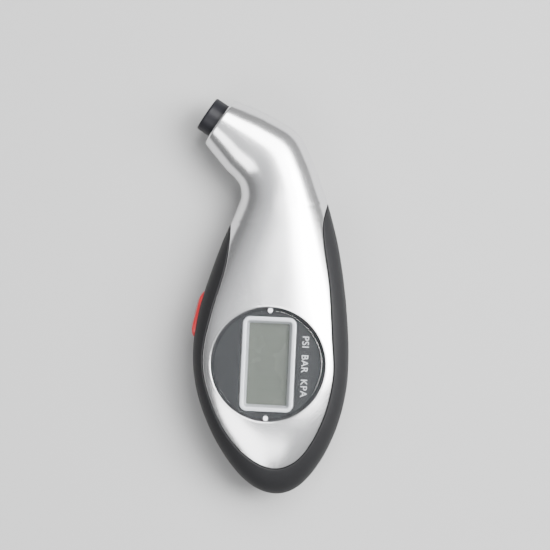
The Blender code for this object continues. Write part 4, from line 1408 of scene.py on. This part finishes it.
def reach_outwards(start, out):
    """How far each point of the edge can move outwards before it leaves the body."""
    near, far = np.zeros(len(start)), np.full(len(start), WIDEST_REACH)
    first_middle, first_half, _, _, _ = section(FIRST_PLACE)
    for _ in range(HALVINGS):
        middle = (near + far) / 2
        plan = start + middle[:, None] * out
        _, across = lift_to_surface(plan, 1)
        offset = plan - first_middle
        ahead = first_half[0] * offset[:, 1] - first_half[1] * offset[:, 0] > 0
        inside = (np.abs(across) < 1.0) & ahead
        near, far = np.where(inside, middle, near), np.where(inside, far, middle)
    return near


def joint_offset(count, width):
    """How far to move the edge outwards in plan, for a joint of some width along the sloping surface."""
    edge, out = face_edge(count)
    drop = lift_to_surface(edge, 1)[0][:, 2] - lift_to_surface(edge + PROBE * out, 1)[0][:, 2]
    return width / np.hypot(1.0, drop / PROBE)


def evenly(points, count):
    """Which of the points to keep, so that they follow each other at even distances in space."""
    run = travelled(points)
    return np.unique(np.searchsorted(run, np.linspace(0.0, run[-1], count)))


offsets = joint_offset(EDGE_STEPS, GAP + LIP)
print("in plan the joint is", round(offsets.min(), 3), "to", round(offsets.max(), 3), "mm wide")


# %% [markdown]
# The joint beside the grip keeps its width along the surface: where the side gets steep, the same width
# covers less in plan. At the two tips the sections shrink to nothing, over a very short stretch of the
# edge. So many sections are tried, and those are kept that follow each other at even distances in space.

# %% Grip skin
STATIONS, ACROSS_BAND, TOWARDS_SIDE = 420, 20, 2.4
TRIES, SMALLEST_REACH = 5000, 0.002
GRIP_WALL = 1.2

band_start, band_out = face_edge(TRIES, joint_offset(TRIES, GAP + LIP)[:, None])
band_reach = reach_outwards(band_start, band_out)
used = np.nonzero(band_reach > SMALLEST_REACH)[0]
used = used[evenly(lift_to_surface(band_start[used], 1)[0], STATIONS)]
band_start, band_out, band_reach = band_start[used], band_out[used], band_reach[used]
share = 1 - (1 - np.linspace(0.0, 1.0, ACROSS_BAND)) ** TOWARDS_SIDE
plan = band_start[:, None] + (share * band_reach[:, None])[..., None] * band_out[:, None]
over, _ = lift_to_surface(plan, 1)
under, _ = lift_to_surface(plan, -1)
over[:, -1, 2] = under[:, -1, 2] = MID_Z
band_grid = np.concatenate([over, under[:, -2::-1]], axis=1)
grip = Skin()
band_rows = grip.grid(band_grid)
for end, beside in ((0, 1), (-1, -2)):
    grip.lip([row[end] for row in band_rows], [row[beside] for row in band_rows], LIP, LIP_DEPTH)
grip_skin = grip.finish("grip_skin", RUBBER, thickness=GRIP_WALL, slot="grip_rubber")
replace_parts(grip_skin, "grip_band")
print(f"grip reaches {band_reach.max():.1f} mm beyond the edge, over {len(used)} stations")


# %% [markdown]
# ## Nozzle, seal and pin
#
# The nozzle is pressed over a tyre valve: its socket guides the stem, a rubber seal closes round it, and a
# pin opens the valve core. All of them are turned, so each is a profile about the nozzle's axis, whose
# heights are measured outwards from the end face of the body.

# %% Nozzle
NOZZLE = level(NOZZLE_AT, NOZZLE_DEG)
SOCKET_RADIUS, SOCKET_FLOOR = 4.7, -4.5
FLANGE_RADIUS, FLANGE_TOP, FLANGE_BACK = 6.9, -2.9, -7.0
THROAT_RADIUS, NOZZLE_END = 3.0, 4.9
tip_profile = [
    (SOCKET_RADIUS, SOCKET_FLOOR), (SOCKET_RADIUS, NOZZLE_END - 0.65), (5.0, NOZZLE_END), (5.55, NOZZLE_END),
    (TIP_RADIUS, NOZZLE_END - 0.5), (TIP_RADIUS, FLANGE_TOP), (FLANGE_RADIUS, FLANGE_TOP),
    (FLANGE_RADIUS, FLANGE_BACK), (THROAT_RADIUS, FLANGE_BACK), (THROAT_RADIUS, SOCKET_FLOOR),
    (SOCKET_RADIUS, SOCKET_FLOOR),
]
tip_profile = rounded_corners(tip_profile, 0.3)
nozzle = spun("nozzle_tip_fine", tip_profile, NOZZLE_BLACK, NOZZLE, slot="black_plastic")
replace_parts(nozzle, "nozzle_tip")
print("the socket is", 2 * SOCKET_RADIUS, "mm wide and the nozzle stands", NOZZLE_END, "mm out")


# %% [markdown]
# The seal has a sunken lip, so the pressure of the air pushes it against the stem. The pin behind it is
# plain brass.

# %% Seal and pin
SEAL_BORE, SEAL_RADIUS, SEAL_BACK, SEAL_TOP = 1.7, 4.4, -4.2, -1.8
PIN_RADIUS, PIN_TIP, PIN_BACK = 0.8, -1.4, -10.0
seal_profile = rounded_corners([
    (SEAL_BORE, SEAL_BACK), (SEAL_RADIUS, SEAL_BACK), (SEAL_RADIUS, SEAL_TOP), (3.3, SEAL_TOP),
    (2.6, SEAL_TOP - 0.5), (SEAL_BORE, SEAL_TOP - 0.4), (SEAL_BORE, SEAL_BACK),
], 0.25)
seal = spun("valve_seal_fine", seal_profile, SEAL_RUBBER, NOZZLE, steps=96, slot="seal_rubber")
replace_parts(seal, "valve_seal")
pin_profile = [(0, PIN_TIP), (PIN_RADIUS, PIN_TIP), (PIN_RADIUS, PIN_BACK), (0, PIN_BACK)]
pin = spun("depressor_pin_fine", rounded_corners(pin_profile, 0.2), BRASS, NOZZLE, steps=48, slot="brass")
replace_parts(pin, "depressor_pin")
print("the pin ends", round(PIN_TIP - SEAL_TOP, 2), "mm in front of the seal")


# %% [markdown]
# ## Power button
#
# The button stands out of the left edge like a red crescent. It is a pad with a rounded outline, whose top
# is curved along the edge of the body. It is built as loops, one inside the other: up the side, round the
# edge in a quarter circle, and in over the top.

# %% Button
BUTTON_AT = (-19.25, 14.45, 13.4)
BUTTON_DEG = 168.2
BUTTON_LENGTH, BUTTON_HEIGHT, BUTTON_PROUD, BUTTON_SAG = 15.6, 7.0, 5.8, 1.5
PAD_CORNER, SMALLEST_CORNER, PAD_FOOT = 2.6, 0.15, -0.1
EDGE_ROLL, ROLL_STEPS, TOP_RISE = 0.9, 6, 0.1
TOP_INSETS = (1.4, 2.1, 2.8, 3.3)
button_place = Matrix.Translation(Vector(BUTTON_AT) * MM) @ Matrix.Rotation(math.radians(BUTTON_DEG), 4, "Z")


def pad_loop(inset, sink):
    """One loop of the pad: its outline moved in by inset, and its top lowered by sink."""
    corner = max(PAD_CORNER - inset, SMALLEST_CORNER)
    loop = rounded_loop(BUTTON_LENGTH - 2 * inset, BUTTON_HEIGHT - 2 * inset, corner)
    crown = BUTTON_PROUD - BUTTON_SAG * (loop[:, 0] / (BUTTON_LENGTH / 2)) ** 2 - sink
    return np.column_stack([crown, loop])


button_loops = [pad_loop(0.0, 0.0)]
button_loops[0][:, 0] = PAD_FOOT
for step in range(ROLL_STEPS + 1):
    angle = math.pi / 2 * step / ROLL_STEPS
    roll_in, roll_up = EDGE_ROLL * (1 - math.cos(angle)), EDGE_ROLL * (1 - math.sin(angle))
    button_loops.append(pad_loop(roll_in, roll_up + TOP_RISE))
for inset in TOP_INSETS:
    button_loops.append(pad_loop(inset, TOP_RISE * (3.4 - inset) / 3.4))
pad = Skin()
pad_rows = pad.grid([np.concatenate([loop, loop[:1]]) for loop in button_loops])
pad.build.faces.new(pad_rows[-1][:-1])
pad.build.faces.new(pad_rows[0][:-1])
for vertex in pad.build.verts:
    vertex.co = button_place @ vertex.co
button = pad.finish("power_button_pad", BUTTON_RED, body="button", slot="button_red")
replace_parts(button, "power_button")
print("the pad has", len(button.data.polygons), "faces")


# %% [markdown]
# The grip has an opening of the same outline, a little larger. It goes through the rubber's whole
# thickness, so a prism of that outline is drawn out along the button's own way and taken out of the skin.

# %% Button opening
def prism(loop, start, end, place):
    """A cutter: a loop in the local YZ plane, drawn out along the local X axis, then placed."""
    build = bmesh.new()
    rows = [[build.verts.new(Vector((x, y, z)) * MM) for y, z in loop] for x in (start, end)]
    for step in range(len(loop)):
        after = (step + 1) % len(loop)
        build.faces.new((rows[0][step], rows[0][after], rows[1][after], rows[1][step]))
    build.faces.new(rows[0])
    build.faces.new(rows[1])
    bmesh.ops.recalc_face_normals(build, faces=build.faces)
    for vertex in build.verts:
        vertex.co = place @ vertex.co
    return tool(build)


OPENING_FROM, OPENING_TO = -3.0, 12.0
opening = rounded_loop(BUTTON_LENGTH + 2 * GAP, BUTTON_HEIGHT + 2 * GAP, PAD_CORNER + GAP)
cut(grip_skin, prism(opening, OPENING_FROM, OPENING_TO, button_place))
print("the grip has", len(grip_skin.data.polygons), "faces after the cut")


# %% [markdown]
# ## Floor
#
# The floor is plain pale paper, the back of the gauge lies on it, and it belongs to the stage and not to
# the gauge.

# %% Floor
FLOOR_HALF = 3.0
floor_mesh = bpy.data.meshes.new("floor")
build = bmesh.new()
bmesh.ops.create_grid(build, x_segments=1, y_segments=1, size=FLOOR_HALF)
bmesh.ops.translate(build, vec=(0.0, 0.0, cad_low.z), verts=build.verts)
build.to_mesh(floor_mesh)
build.free()
floor = bpy.data.objects.new("floor", floor_mesh)
bpy.context.scene.collection.objects.link(floor)
PAPER = Finish("studio_paper", (0.32, 0.32, 0.32), 0.8, Specular_IOR_Level=0.1)
floor_mesh.materials.append(PAPER.material)
print("the floor is", 2 * FLOOR_HALF, "m wide")


# %% [markdown]
